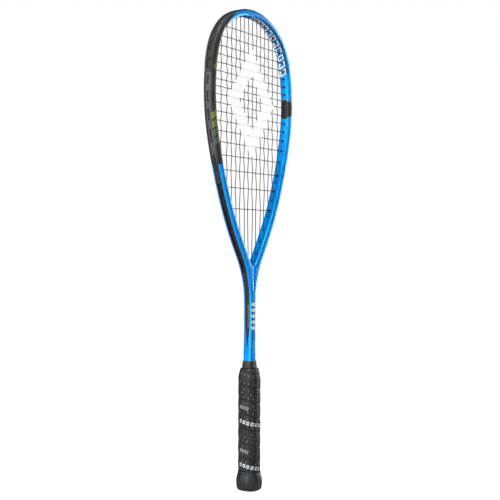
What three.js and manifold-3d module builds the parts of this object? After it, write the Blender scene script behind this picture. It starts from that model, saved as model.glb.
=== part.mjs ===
// Squash racket, in millimetres. The origin is the middle of the butt's flat end, +Z runs up the
// shaft to the top of the head, X is the width of the head and Y is the normal of the strings.
import * as THREE from 'three';
import { mergeVertices } from 'three/addons/utils/BufferGeometryUtils.js';
import Module from 'manifold-3d';

const wasm = await Module();
wasm.setup();

// ---------------------------------------------------------------- driving dimensions
const LENGTH = 683;              // butt end to the outside of the bumper
const FIT_GAP = 0.3;             // clearance between neighbouring pieces

const BEAM_DEPTH = 16.4;         // depth of the head's beam along Y
const SHAFT_DEPTH = 14.4;        // depth of the shaft along Y
const DEPTH_CHANGE = [270, 340]; // the depth goes from shaft to head between these heights
const BEAM_ROUND = 3.5;          // corner rounding of the beam
const FRAME_FOOT_Z = 6;          // lower end of the shaft, inside the handle
const SHAFT_HALF_WIDTH = 7.6;    // inside the handle

// Half outlines of the frame as [x, z], from the axis at the top down to the throat and the shaft.
const INNER_TOP_Z = 672.5;
const THROAT_APEX_Z = 317.5;
const INNER_HALF = [
  [0, INNER_TOP_Z], [9, 672.3], [22, 670.9], [40, 665.2], [58, 655.2], [72, 643], [80.4, 628],
  [86.6, 611], [90.5, 588], [92.5, 558], [90.3, 525], [83.7, 491], [74.8, 459], [63.8, 429],
  [51.7, 400], [37.4, 373], [21.5, 346.5], [9.8, 328], [4.6, 321], [0, THROAT_APEX_Z],
];
const BUMPER_RISE = 1.8;         // how far the bumper stands out of the beam
const OUTER_TOP_Z = LENGTH - BUMPER_RISE;
const OUTER_HALF = [
  [0, OUTER_TOP_Z], [9, 680.6], [22.5, 678.9], [43.5, 672.2], [64.8, 660.3], [80.6, 644.8],
  [91.5, 627], [97.8, 607], [101.6, 583], [102.7, 553], [100, 521], [93.6, 490], [84.8, 460],
  [74.4, 430], [62.3, 400], [49.8, 374], [36.3, 350], [21, 325], [14.4, 311], [9.9, 297],
  [7.2, 283], [6, 268], [5.6, 235], [6.6, 207], [7.2, 190], [SHAFT_HALF_WIDTH, 150],
  [SHAFT_HALF_WIDTH, 100], [SHAFT_HALF_WIDTH, FRAME_FOOT_Z],
];
const SHAFT_BORE = { halfX: 4.6, halfY: 4.2, round: 3, top: 200 };

// String bed.
const STRING_R = 0.575;
const STRING_SIDES = 5;
const WEAVE = 1.4;               // how far a cross string swings to either side of the mains
const WALL_SHIFT = { within: 5, share: 0.25, most: 0.6 };
const MAIN_X = [5.4, 15.4, 25.8, 36.1, 46.8, 57.9, 71.6];
const OUTER_FOOT_X = 68.6;       // the outermost mains lean in at their feet, to clear a cross hole
const CROSS_Z = [
  649.8, 635.3, 621.6, 609.5, 598, 586.2, 575, 565, 554.5, 542.9,
  531.1, 518.6, 504.9, 489.8, 472.2, 452.2, 428.7, 399.5,
];
const SIDE_STRIP_TOP_CROSS = 6;  // the first cross string that passes through the side strips
const SIDE_STRIP_END_CROSS = 15; // the last one

// Grommet channel round the outside of the head, as depths below the beam's outer face. It is
// wide under the bumper and the side strips, and narrow in the throat.
const CHANNEL = { depth: 3, halfWidth: 4.5, throatHalf: 3.3, endZ: 305 };
const STRIP = { low: -2.7, floor: -1.7, rail: -0.2 };
const STRIP_WIDTH = { half: 4.2, grooveHalf: 3.1 };
const PLATE_WIDTH = { half: 3, grooveHalf: 2.1 };
const STRIP_OVERRUN = 0.6;       // how far a strip goes past its last hole, in points of the line
const BUMPER = { capLow: 0.3, capHalf: 6.8 };
const BARREL = { outer: 1.45, bore: 0.98, hole: 1.78, stickOut: 1.2 };
const PLATE_LENGTH = 5.2;        // a throat grommet's flange, along the channel
const LOOP_OFFSET = -0.85;       // centre line of the strings where they run in the channel
const PASSING_SIDE = 1.3;        // mains' loops keep to -Y and cross loops to +Y by this much
const LANE_CHANGE = 2.6;         // a string reaches its side of the channel this far from its hole
const KNOT_R = 1.2;
const KNOT_OFFSET = STRIP.floor + KNOT_R + 0.15;
const KNOT_RUN = 4.5;            // from the last hole to the knot
const TURN_GAP = 0.35;           // a string bends this far outside its barrel's mouth

// Handle.
const PALLET = { halfX: 12.1, halfY: 13.2, round: 10, low: 8, high: 173.4, taper: 12, taperDepth: 3.2 };
const SHAFT_ROOM_ROUND = 2.5;
const SKIRT = { halfX: 12.5, halfY: 13.6, round: 10.2, wall: 0.9, high: 42 };
const GRIP = { halfX: 14.3, halfY: 15.4, round: 12, low: 28, high: 173.7, pitch: 20.5, step: 0.35 };
const NECK = { low: 158, high: 178, depth: 3.2 };  // where the grip narrows, and by how much
const COLLAR = { low: 174, high: 184, thickness: 0.8, round: 5.4, roomRound: 3.8 };
const BUTT = { flare: 2.6, widestZ: 13.5, floor: 3, corner: 5 };
const TACK = { z: 35, headR: 1.5, headT: 0.6, shankR: 0.55, length: 4, sunk: 0.05 };

// ---------------------------------------------------------------- solids
function toSolid(geometry) {
  const bare = geometry.index ? geometry.toNonIndexed() : geometry.clone();
  for (const name of ['normal', 'uv']) bare.deleteAttribute(name);
  const merged = mergeVertices(bare, 1e-4);
  return new wasm.Manifold(new wasm.Mesh({
    numProp: 3,
    vertProperties: Float32Array.from(merged.attributes.position.array),
    triVerts: Uint32Array.from(merged.index.array),
  }));
}

function toGeometry(solid) {
  const mesh = solid.getMesh();
  const geometry = new THREE.BufferGeometry();
  geometry.setAttribute('position', new THREE.BufferAttribute(Float32Array.from(mesh.vertProperties), 3));
  geometry.setIndex(new THREE.BufferAttribute(Uint32Array.from(mesh.triVerts), 1));
  return geometry;
}

function roundedRect(halfX, halfY, radius, cornerSteps = 3) {
  const points = [];
  for (let corner = 0; corner < 4; corner++) {
    const sx = corner === 0 || corner === 3 ? 1 : -1;
    const sy = corner < 2 ? 1 : -1;
    for (let i = 0; i <= cornerSteps; i++) {
      const angle = (corner + i / cornerSteps) * Math.PI / 2;
      points.push(new THREE.Vector2(
        sx * (halfX - radius) + radius * Math.cos(angle),
        sy * (halfY - radius) + radius * Math.sin(angle),
      ));
    }
  }
  return new THREE.Shape(points);
}

// An upright prism whose section grows outwards by level.grow at each level.z.
function loft(halfX, halfY, radius, levels, cornerSteps = 3) {
  const geometry = new THREE.ExtrudeGeometry(roundedRect(halfX, halfY, radius, cornerSteps), {
    depth: levels.length - 1, steps: levels.length - 1, bevelEnabled: false,
  });
  const position = geometry.attributes.position;
  for (let i = 0; i < position.count; i++) {
    const level = levels[Math.round(position.getZ(i))];
    const x = position.getX(i) * (halfX + level.grow) / halfX;
    const y = position.getY(i) * (halfY + level.grow) / halfY;
    position.setXYZ(i, x, y, level.z);
  }
  return geometry;
}

function prism(halfX, halfY, radius, low, high, cornerSteps = 3) {
  return loft(halfX, halfY, radius, [{ z: low, grow: 0 }, { z: high, grow: 0 }], cornerSteps);
}

// A flat shape in X and Z, made `depth` thick and centred on Y = 0.
function plateXZ(shape, depth, bevel = 0) {
  const geometry = new THREE.ExtrudeGeometry(shape, {
    depth: depth - 2 * bevel,
    steps: 1,
    bevelEnabled: bevel > 0,
    bevelThickness: bevel,
    bevelSize: bevel,
    bevelOffset: -bevel,
    bevelSegments: 2,
  });
  geometry.translate(0, 0, -(depth - 2 * bevel) / 2);
  geometry.rotateX(Math.PI / 2);
  return geometry;
}

function rod(from, to, radius, sides = 6) {
  const axis = new THREE.Vector3().subVectors(to, from);
  const geometry = new THREE.CylinderGeometry(radius, radius, axis.length(), sides);
  const upright = new THREE.Vector3(0, 1, 0);
  const turn = new THREE.Quaternion().setFromUnitVectors(upright, axis.clone().normalize());
  geometry.applyQuaternion(turn);
  geometry.translate((from.x + to.x) / 2, (from.y + to.y) / 2, (from.z + to.z) / 2);
  return geometry;
}

// A curve through given points, with a step of the extrusion at each point.
class PointCurve extends THREE.Curve {
  constructor(points) {
    super();
    this.points = points;
  }

  getPoint(t, target = new THREE.Vector3()) {
    const at = t * (this.points.length - 1);
    const i = Math.min(Math.floor(at), this.points.length - 2);
    return target.lerpVectors(this.points[i], this.points[i + 1], at - i);
  }

  getUtoTmapping(u) {
    return u;
  }

  getTangent(t, target = new THREE.Vector3()) {
    const i = Math.round(t * (this.points.length - 1));
    const before = this.points[Math.max(i - 1, 0)];
    const here = this.points[i];
    const after = this.points[Math.min(i + 1, this.points.length - 1)];
    const arriving = new THREE.Vector3().subVectors(here, before).normalize();
    const leaving = new THREE.Vector3().subVectors(after, here).normalize();
    return target.addVectors(arriving, leaving).normalize();
  }
}

function tube(points, radius, sides) {
  const section = [];
  for (let i = 0; i < sides; i++) {
    const angle = i * 2 * Math.PI / sides;
    section.push(new THREE.Vector2(radius * Math.cos(angle), radius * Math.sin(angle)));
  }
  return new THREE.ExtrudeGeometry(new THREE.Shape(section), {
    steps: points.length - 1, extrudePath: new PointCurve(points),
  });
}

// ---------------------------------------------------------------- outlines
function smoothHalf(points, count) {
  const places = points.map(([x, z]) => new THREE.Vector3(x, 0, z));
  const curve = new THREE.CatmullRomCurve3(places, false, 'centripetal');
  return curve.getSpacedPoints(count).map((p) => new THREE.Vector2(Math.max(p.x, 0), p.z));
}

function mirrored(points) {
  return points.map((p) => new THREE.Vector2(-p.x, p.y)).reverse();
}

const INNER_STEPS = 46;
const OUTER_STEPS = 84;
const innerHalf = smoothHalf(INNER_HALF, INNER_STEPS);
innerHalf[0].x = 0;
innerHalf[INNER_STEPS].x = 0;
const outerHalf = smoothHalf(OUTER_HALF, OUTER_STEPS);
outerHalf[0].x = 0;
const shaftTop = outerHalf.findIndex((p) => p.y < DEPTH_CHANGE[0]);
const outerHead = outerHalf.slice(0, shaftTop);      // the stretch that the channel follows
const shaftLine = [
  ...outerHalf.slice(shaftTop).filter((p, i) => i % 4 === 0 && p.y > 180),
  new THREE.Vector2(SHAFT_HALF_WIDTH, FRAME_FOOT_Z),
];
// From the left arm over the top to the right arm.
const outerLine = [...mirrored(outerHead), ...outerHead.slice(1)];

function normalAt(line, i) {
  const before = line[Math.max(i - 1, 0)];
  const after = line[Math.min(i + 1, line.length - 1)];
  const along = new THREE.Vector2().subVectors(after, before).normalize();
  return new THREE.Vector2(-along.y, along.x);
}

function offsetLine(line, offset) {
  return line.map((p, i) => p.clone().addScaledVector(normalAt(line, i), offset));
}

// A place on the outer line is a number of points from its left end, and need not be whole.
const middlePlace = outerHead.length - 1;

function pointAt(line, place) {
  const i = Math.floor(place);
  return line[i].clone().lerp(line[i + 1], place - i);
}

function stretchOf(line, start, stop) {
  const places = [start];
  for (let i = Math.ceil(start + 0.2); i < stop - 0.2; i++) places.push(i);
  places.push(stop);
  return places.map((place) => pointAt(line, place));
}

// A strip of the ring round the head, from one offset of the outer line to another.
function band(start, stop, low, high, depth) {
  const outside = stretchOf(offsetLine(outerLine, high), start, stop);
  const inside = stretchOf(offsetLine(outerLine, low), start, stop);
  return plateXZ(new THREE.Shape([...outside, ...inside.reverse()]), depth);
}

// ---------------------------------------------------------------- string holes
function crossing(a, b, c, d) {
  const r = new THREE.Vector2().subVectors(b, a);
  const s = new THREE.Vector2().subVectors(d, c);
  const gap = new THREE.Vector2().subVectors(c, a);
  const determinant = r.x * s.y - r.y * s.x;
  const t = (gap.x * s.y - gap.y * s.x) / determinant;
  const u = (gap.x * r.y - gap.y * r.x) / determinant;
  return { t, u };
}

// Where the ray from `from` along `direction` first meets the line.
function rayHit(line, from, direction) {
  const far = from.clone().addScaledVector(direction, LENGTH);
  let first = null;
  for (let i = 0; i < line.length - 1; i++) {
    const { t, u } = crossing(from, far, line[i], line[i + 1]);
    const meets = t >= 0 && t <= 1 && u >= 0 && u < 1;
    if (meets && (!first || t < first.t)) first = { t, point: from.clone().lerp(far, t), place: i + u };
  }
  return first;
}

const loopLine = offsetLine(outerLine, LOOP_OFFSET);
const innerLine = [...mirrored(innerHalf), ...innerHalf.slice(1)];
const NORMAL_SHARE = 0.88;       // how far a hole turns from the string towards the wall's normal

// A hole that takes a string arriving at the inner wall along `heading`.
function makeHole(start, heading) {
  const wall = rayHit(innerLine, start, heading);
  const i = Math.floor(wall.place);
  const normal = normalAt(innerLine, i).add(normalAt(innerLine, i + 1)).normalize();
  const direction = heading.clone().lerp(normal, NORMAL_SHARE).normalize();
  const exit = rayHit(loopLine, wall.point, direction);
  return { wall: wall.point, direction, exit: exit.point, place: exit.place };
}

const at3 = (p, y = 0) => new THREE.Vector3(p.x, y, p.y);
const UP = new THREE.Vector2(0, 1);
const DOWN = new THREE.Vector2(0, -1);
const RIGHT = new THREE.Vector2(1, 0);
const LEFT = new THREE.Vector2(-1, 0);

function towardsFoot(bend, side) {
  const i = innerHalf.findLastIndex((p) => p.x > OUTER_FOOT_X);
  const above = innerHalf[i];
  const below = innerHalf[i + 1];
  const foot = above.clone().lerp(below, (above.x - OUTER_FOOT_X) / (above.x - below.x));
  foot.x *= side;
  return foot.sub(bend).normalize();
}

const crossHoles = CROSS_Z.map((z) => ({
  z,
  right: makeHole(new THREE.Vector2(0, z), RIGHT),
  left: makeHole(new THREE.Vector2(0, z), LEFT),
}));

// The mains from left to right, upright from their tops down to their last cross strings.
const mains = [];
for (const side of [-1, 1]) {
  for (const x of MAIN_X) {
    const crossed = crossHoles.filter((cross) => cross.right.wall.x > x + BARREL.stickOut);
    const crown = new THREE.Vector2(side * x, crossed[0].z);
    const bend = new THREE.Vector2(side * x, crossed[crossed.length - 1].z);
    const isOuter = x === MAIN_X[MAIN_X.length - 1];
    const heading = isOuter ? towardsFoot(bend, side) : DOWN;
    mains.push({ x: side * x, crown, bend, top: makeHole(crown, UP), foot: makeHole(bend, heading) });
  }
}
mains.sort((a, b) => a.x - b.x);

// ---------------------------------------------------------------- grommets
// How much of a place on the outer line a length along the channel is, near a hole.
function placesIn(length, hole) {
  const i = Math.floor(hole.place);
  return length / loopLine[i].distanceTo(loopLine[i + 1]);
}

const innerMouth = (hole) => hole.wall.clone().addScaledVector(hole.direction, -BARREL.stickOut);
const beyond = (hole, distance) => hole.exit.clone().addScaledVector(hole.direction, distance);

function drill(solid, holes, radius) {
  let result = solid;
  for (const hole of holes) {
    const start = hole.wall.clone().addScaledVector(hole.direction, -3);
    result = result.subtract(toSolid(rod(at3(start), at3(beyond(hole, 2)), radius)));
  }
  return result;
}

// Barrels run from a strip in the channel through the beam into the head.
function withBarrels(strip, holes) {
  let solid = strip;
  for (const hole of holes) {
    const seat = beyond(hole, (STRIP.floor + STRIP.low) / 2 - LOOP_OFFSET);
    solid = solid.add(toSolid(rod(at3(innerMouth(hole)), at3(seat), BARREL.outer)));
  }
  return drill(solid, holes, BARREL.bore);
}

function grommetStrip(start, stop, width, holes) {
  const body = toSolid(band(start, stop, STRIP.low, STRIP.rail, 2 * width.half));
  const groove = toSolid(band(start - 0.1, stop + 0.1, STRIP.floor, 1, 2 * width.grooveHalf));
  return withBarrels(body.subtract(groove), holes);
}

const bumperCrosses = crossHoles.slice(0, SIDE_STRIP_TOP_CROSS);
const sideCrosses = crossHoles.slice(SIDE_STRIP_TOP_CROSS, SIDE_STRIP_END_CROSS + 1);
const throatCrosses = crossHoles.slice(SIDE_STRIP_END_CROSS + 1);
const fromMiddle = (hole) => Math.abs(hole.place - middlePlace);
const lastBumperHole = bumperCrosses[bumperCrosses.length - 1].right;
const bumperReach = (fromMiddle(lastBumperHole) + fromMiddle(sideCrosses[0].right)) / 2;
const outerFoot = mains[mains.length - 1].foot;
const stripReach = fromMiddle(outerFoot) + STRIP_OVERRUN;

function bumperGuard() {
  const start = middlePlace - bumperReach;
  const stop = middlePlace + bumperReach;
  const base = toSolid(band(start, stop, STRIP.low, BUMPER_RISE, 2 * STRIP_WIDTH.half));
  const cap = toSolid(band(start, stop, BUMPER.capLow, BUMPER_RISE, 2 * BUMPER.capHalf));
  const grooveWidth = 2 * STRIP_WIDTH.grooveHalf;
  const groove = toSolid(band(start - 0.1, stop + 0.1, STRIP.floor, BUMPER_RISE + 1, grooveWidth));
  const holes = [
    ...bumperCrosses.flatMap((cross) => [cross.left, cross.right]),
    ...mains.map((main) => main.top),
  ];
  return withBarrels(base.add(cap).subtract(groove), holes);
}

function sideStrip(side) {
  const outerMain = side > 0 ? mains[mains.length - 1] : mains[0];
  const holes = sideCrosses.map((cross) => (side > 0 ? cross.right : cross.left));
  holes.push(outerMain.foot);
  const near = bumperReach + 0.06;
  if (side > 0) return grommetStrip(middlePlace + near, middlePlace + stripReach, STRIP_WIDTH, holes);
  return grommetStrip(middlePlace - stripReach, middlePlace - near, STRIP_WIDTH, holes);
}

function throatGrommet(hole) {
  const half = placesIn(PLATE_LENGTH / 2, hole);
  return grommetStrip(hole.place - half, hole.place + half, PLATE_WIDTH, [hole]);
}

// ---------------------------------------------------------------- strings
// The way in the channel from one hole's exit to another's, keeping to one side in Y.
function channelRun(from, to, y) {
  const step = Math.sign(to.place - from.place);
  const start = from.place + step * placesIn(LANE_CHANGE, from);
  const stop = to.place - step * placesIn(LANE_CHANGE, to);
  const between = stretchOf(loopLine, Math.min(start, stop), Math.max(start, stop));
  if (step < 0) between.reverse();
  return [at3(from.exit), ...between.map((p) => at3(p, y)), at3(to.exit)];
}

// A string's end: out of the hole, a little way along the channel, and a knot.
function tail(hole, step, y) {
  const end = pointAt(offsetLine(outerLine, KNOT_OFFSET), hole.place + step * placesIn(KNOT_RUN, hole));
  return { exit: at3(hole.exit), end: at3(end, y) };
}

const innerTurn = (hole) => at3(innerMouth(hole).addScaledVector(hole.direction, -TURN_GAP));

function tied(points, knots) {
  let solid = toSolid(tube(points, STRING_R, STRING_SIDES));
  for (const place of knots) {
    const knot = new THREE.SphereGeometry(KNOT_R, 8, 6);
    knot.translate(place.x, place.y, place.z);
    solid = solid.add(toSolid(knot));
  }
  return solid;
}

// One string makes all the mains: it starts at the outer right foot and ends at the outer left.
function mainString() {
  const order = [...mains].reverse();
  const points = [];
  const knots = [];
  const start = tail(order[0].foot, 1, -PASSING_SIDE);
  points.push(start.end, start.exit);
  knots.push(start.end);
  order.forEach((main, i) => {
    const upward = i % 2 === 0;
    const run = [innerTurn(main.foot), at3(main.bend), at3(main.crown), innerTurn(main.top)];
    points.push(...(upward ? run : run.reverse()));
    const next = order[i + 1];
    if (!next) return;
    const end = upward ? 'top' : 'foot';
    points.push(...channelRun(main[end], next[end], -PASSING_SIDE));
  });
  const stop = tail(order[order.length - 1].foot, -1, -PASSING_SIDE);
  points.push(stop.exit, stop.end);
  knots.push(stop.end);
  return tied(points, knots);
}

// One string makes all the crosses, woven over and under the mains.
function crossString() {
  const points = [];
  const knots = [];
  const start = tail(crossHoles[0].right, 1, PASSING_SIDE);
  points.push(start.end, start.exit);
  knots.push(start.end);
  crossHoles.forEach((cross, i) => {
    const leftward = i % 2 === 0;
    const weave = [innerTurn(cross.left)];
    mains.forEach((main, j) => {
      const reach = cross.right.wall.x - BARREL.stickOut;
      const x = mainXAt(main, cross.z);
      if (Math.abs(x) > reach) return;
      const y = (i + j) % 2 === 0 ? WEAVE : -WEAVE;
      weave.push(new THREE.Vector3(x + wallShift(x, reach), y, cross.z));
    });
    weave.push(innerTurn(cross.right));
    points.push(...(leftward ? weave.reverse() : weave));
    const next = crossHoles[i + 1];
    if (!next) return;
    const side = leftward ? 'left' : 'right';
    points.push(...channelRun(cross[side], next[side], PASSING_SIDE));
  });
  const last = crossHoles[crossHoles.length - 1];
  const stop = tail(last.right, -1, PASSING_SIDE);
  points.push(stop.exit, stop.end);
  knots.push(stop.end);
  return tied(points, knots);
}

function mainXAt(main, z) {
  if (z >= main.bend.y) return main.x;
  const foot = main.foot.wall;
  return main.x + (foot.x - main.x) * (main.bend.y - z) / (main.bend.y - foot.y);
}

// Close to a wall, a cross string peaks a little beyond the main, to clear it on its way down.
function wallShift(x, reach) {
  const room = reach - Math.abs(x);
  if (room > WALL_SHIFT.within) return 0;
  return Math.sign(x) * Math.min(WALL_SHIFT.share * room, WALL_SHIFT.most);
}

// ---------------------------------------------------------------- frame
function beamScale(z) {
  const share = THREE.MathUtils.smoothstep(z, DEPTH_CHANGE[0], DEPTH_CHANGE[1]);
  return THREE.MathUtils.lerp(SHAFT_DEPTH / BEAM_DEPTH, 1, share);
}

function channelCutter(reach, halfWidth) {
  return toSolid(band(middlePlace - reach, middlePlace + reach, -CHANNEL.depth, 3, 2 * halfWidth));
}

// The head, throat and shaft are one moulding of carbon composite.
function frameSolid(holes) {
  const outline = new THREE.Shape([
    ...mirrored(shaftLine), ...outerLine.slice(1, -1), ...shaftLine,
  ]);
  outline.holes.push(new THREE.Path(innerLine.slice(1).reverse()));
  const geometry = plateXZ(outline, BEAM_DEPTH, BEAM_ROUND);
  const position = geometry.attributes.position;
  for (let i = 0; i < position.count; i++) {
    position.setY(i, position.getY(i) * beamScale(position.getZ(i)));
  }
  const channelReach = outerHead.findIndex((p) => p.y < CHANNEL.endZ);
  const bore = prism(SHAFT_BORE.halfX, SHAFT_BORE.halfY, SHAFT_BORE.round, 0, SHAFT_BORE.top, 2);
  const body = toSolid(geometry)
    .subtract(channelCutter(stripReach + 0.1, CHANNEL.halfWidth))
    .subtract(channelCutter(channelReach, CHANNEL.throatHalf))
    .subtract(toSolid(bore));
  return drill(body, holes, BARREL.hole);
}

// ---------------------------------------------------------------- handle
function tackShape(side, headLow, tipLow, top, room) {
  const place = (depth) => new THREE.Vector3(0, side * (SKIRT.halfY - depth), TACK.z);
  const head = rod(place(headLow), place(top), TACK.headR + room, 12);
  const shank = rod(place(tipLow), place((headLow + top) / 2), TACK.shankR + room, 8);
  return toSolid(head).add(toSolid(shank));
}

const tack = (side) => tackShape(side, TACK.headT, TACK.length, TACK.sunk, 0);

const tackCutter = (side) => tackShape(
  side, TACK.headT + FIT_GAP / 2, TACK.length + FIT_GAP, -FIT_GAP, FIT_GAP,
);

// The outside of the handle's core, with room around it.
function coreEnvelope(room) {
  return toSolid(loft(PALLET.halfX + room, PALLET.halfY + room, PALLET.round, [
    { z: PALLET.low, grow: 0 },
    { z: PALLET.high - PALLET.taper, grow: 0 },
    { z: PALLET.high, grow: -PALLET.taperDepth },
    { z: PALLET.high + room, grow: -PALLET.taperDepth },
  ]));
}

// Half of the moulded core that gives the handle its section, in front of or behind the shaft.
function palletHalf(side) {
  const reach = 2 * GRIP.halfX;
  const inSkirt = SKIRT.wall + FIT_GAP;
  const skirtSleeve = toSolid(prism(reach, reach, 1, 0, SKIRT.high + FIT_GAP)).subtract(toSolid(prism(
    SKIRT.halfX - inSkirt, SKIRT.halfY - inSkirt, SKIRT.round - inSkirt, -1, SKIRT.high + 1,
  )));
  const shaftRoom = toSolid(prism(
    SHAFT_HALF_WIDTH + FIT_GAP, SHAFT_DEPTH / 2 + FIT_GAP, SHAFT_ROOM_ROUND, 0, PALLET.high + 1, 2,
  ));
  const otherHalf = new THREE.BoxGeometry(2 * reach, reach, LENGTH);
  otherHalf.translate(0, side * (FIT_GAP - reach) / 2, PALLET.low + LENGTH / 2 - 1);
  return coreEnvelope(0)
    .subtract(skirtSleeve)
    .subtract(shaftRoom)
    .subtract(toSolid(otherHalf))
    .subtract(tackCutter(side));
}

const GRIP_ROWS = 24;

// The grip is one long perforated strip, wound so that each turn laps the one below it.
function gripWrap() {
  const levels = [];
  for (let i = 0; i <= GRIP_ROWS; i++) {
    const z = THREE.MathUtils.lerp(GRIP.low, GRIP.high, i / GRIP_ROWS);
    levels.push({ z, grow: -NECK.depth * THREE.MathUtils.smoothstep(z, NECK.low, NECK.high) });
  }
  const geometry = loft(GRIP.halfX, GRIP.halfY, GRIP.round, levels);
  const position = geometry.attributes.position;
  for (let i = 0; i < position.count; i++) {
    const x = position.getX(i);
    const y = position.getY(i);
    const turn = Math.atan2(y, x) / (2 * Math.PI);
    const along = (position.getZ(i) - GRIP.low) / GRIP.pitch + turn;
    const dip = GRIP.step * (0.5 - 0.5 * Math.cos(2 * Math.PI * along));
    const reach = Math.hypot(x, y);
    position.setX(i, x * (reach - dip) / reach);
    position.setY(i, y * (reach - dip) / reach);
  }
  const skirtRoom = prism(
    SKIRT.halfX + FIT_GAP, SKIRT.halfY + FIT_GAP, SKIRT.round + FIT_GAP, GRIP.low - 1, SKIRT.high + FIT_GAP,
  );
  return toSolid(geometry).subtract(coreEnvelope(FIT_GAP)).subtract(toSolid(skirtRoom));
}

// The rubber collar that finishes the top of the grip on the shaft.
function gripCollar() {
  const halfX = SHAFT_HALF_WIDTH + COLLAR.thickness;
  const halfY = SHAFT_DEPTH / 2 + COLLAR.thickness;
  const body = loft(halfX, halfY, COLLAR.round, [
    { z: COLLAR.low, grow: 1.4 },
    { z: COLLAR.low + 4, grow: 1.1 },
    { z: COLLAR.high - 1, grow: 0.2 },
    { z: COLLAR.high, grow: -0.1 },
  ]);
  const room = prism(
    SHAFT_HALF_WIDTH + FIT_GAP, SHAFT_DEPTH / 2 + FIT_GAP, COLLAR.roomRound, COLLAR.low - 1, COLLAR.high + 1,
  );
  return toSolid(body).subtract(toSolid(room));
}

function buttCap() {
  const levels = [];
  const cornerSteps = 4;
  for (let i = 0; i <= cornerSteps; i++) {
    const angle = i / cornerSteps * Math.PI / 2;
    levels.push({
      z: BUTT.corner * (1 - Math.cos(angle)) * 0.999,
      grow: BUTT.flare - 0.6 - BUTT.corner * (1 - Math.sin(angle)),
    });
  }
  levels[0].z = 0;
  levels.push({ z: 9, grow: BUTT.flare - 0.1 });
  levels.push({ z: BUTT.widestZ, grow: BUTT.flare });
  levels.push({ z: 19, grow: 0.72 * BUTT.flare });
  levels.push({ z: 24, grow: 0.2 * BUTT.flare });
  levels.push({ z: GRIP.low - FIT_GAP, grow: 0 });
  const bell = toSolid(loft(GRIP.halfX, GRIP.halfY, GRIP.round, levels));
  const skirt = toSolid(prism(SKIRT.halfX, SKIRT.halfY, SKIRT.round, BUTT.floor, SKIRT.high));
  const inside = prism(
    SKIRT.halfX - SKIRT.wall, SKIRT.halfY - SKIRT.wall, SKIRT.round - SKIRT.wall, BUTT.floor, SKIRT.high + 1,
  );
  return bell.add(skirt).subtract(toSolid(inside)).subtract(tackCutter(-1)).subtract(tackCutter(1));
}

// ---------------------------------------------------------------- assembly
const LOOKS = {
  paint: new THREE.MeshStandardMaterial({ color: 0x0b78d8, roughness: 0.28, metalness: 0.1 }),
  bumper: new THREE.MeshStandardMaterial({ color: 0x26262a, roughness: 0.6, metalness: 0 }),
  grommet: new THREE.MeshStandardMaterial({ color: 0x4a4b50, roughness: 0.55, metalness: 0 }),
  throat: new THREE.MeshStandardMaterial({ color: 0x1c1a1b, roughness: 0.5, metalness: 0 }),
  string: new THREE.MeshStandardMaterial({ color: 0x2c2a2b, roughness: 0.45, metalness: 0 }),
  core: new THREE.MeshStandardMaterial({ color: 0xb7ab8c, roughness: 0.85, metalness: 0 }),
  grip: new THREE.MeshStandardMaterial({ color: 0x1b1b1d, roughness: 0.7, metalness: 0 }),
  rubber: new THREE.MeshStandardMaterial({ color: 0x151516, roughness: 0.6, metalness: 0 }),
  cap: new THREE.MeshStandardMaterial({ color: 0x1a1a1c, roughness: 0.5, metalness: 0 }),
  steel: new THREE.MeshStandardMaterial({ color: 0xb9bcc0, roughness: 0.3, metalness: 1 }),
};

const racket = new THREE.Group();

function addPiece(name, solid, material) {
  const mesh = new THREE.Mesh(toGeometry(solid), material);
  mesh.name = name;
  racket.add(mesh);
}

const allHoles = [
  ...crossHoles.flatMap((cross) => [cross.left, cross.right]),
  ...mains.flatMap((main) => [main.top, main.foot]),
];
addPiece('frame', frameSolid(allHoles), LOOKS.paint);
addPiece('bumper_guard', bumperGuard(), LOOKS.bumper);
addPiece('grommet_strip_left', sideStrip(-1), LOOKS.grommet);
addPiece('grommet_strip_right', sideStrip(1), LOOKS.grommet);

for (const [side, label] of [[-1, 'left'], [1, 'right']]) {
  const feet = mains.filter((main) => Math.sign(main.x) === side && Math.abs(main.x) < MAIN_X[6]);
  const holes = [
    ...throatCrosses.map((cross) => cross[label]),
    ...feet.map((main) => main.foot),
  ].sort((a, b) => b.wall.y - a.wall.y);
  holes.forEach((hole, i) => {
    addPiece(`throat_grommet_${label}_${i + 1}`, throatGrommet(hole), LOOKS.throat);
  });
}

addPiece('main_string', mainString(), LOOKS.string);
addPiece('cross_string', crossString(), LOOKS.string);
addPiece('handle_core_front', palletHalf(-1), LOOKS.core);
addPiece('handle_core_back', palletHalf(1), LOOKS.core);
addPiece('grip_wrap', gripWrap(), LOOKS.grip);
addPiece('grip_collar', gripCollar(), LOOKS.rubber);
addPiece('butt_cap', buttCap(), LOOKS.cap);
addPiece('butt_tack_front', tack(-1), LOOKS.steel);
addPiece('butt_tack_back', tack(1), LOOKS.steel);

export default racket;
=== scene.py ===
import math

import bmesh
import bpy
import numpy as np
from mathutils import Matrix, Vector
from mathutils.kdtree import KDTree

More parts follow.
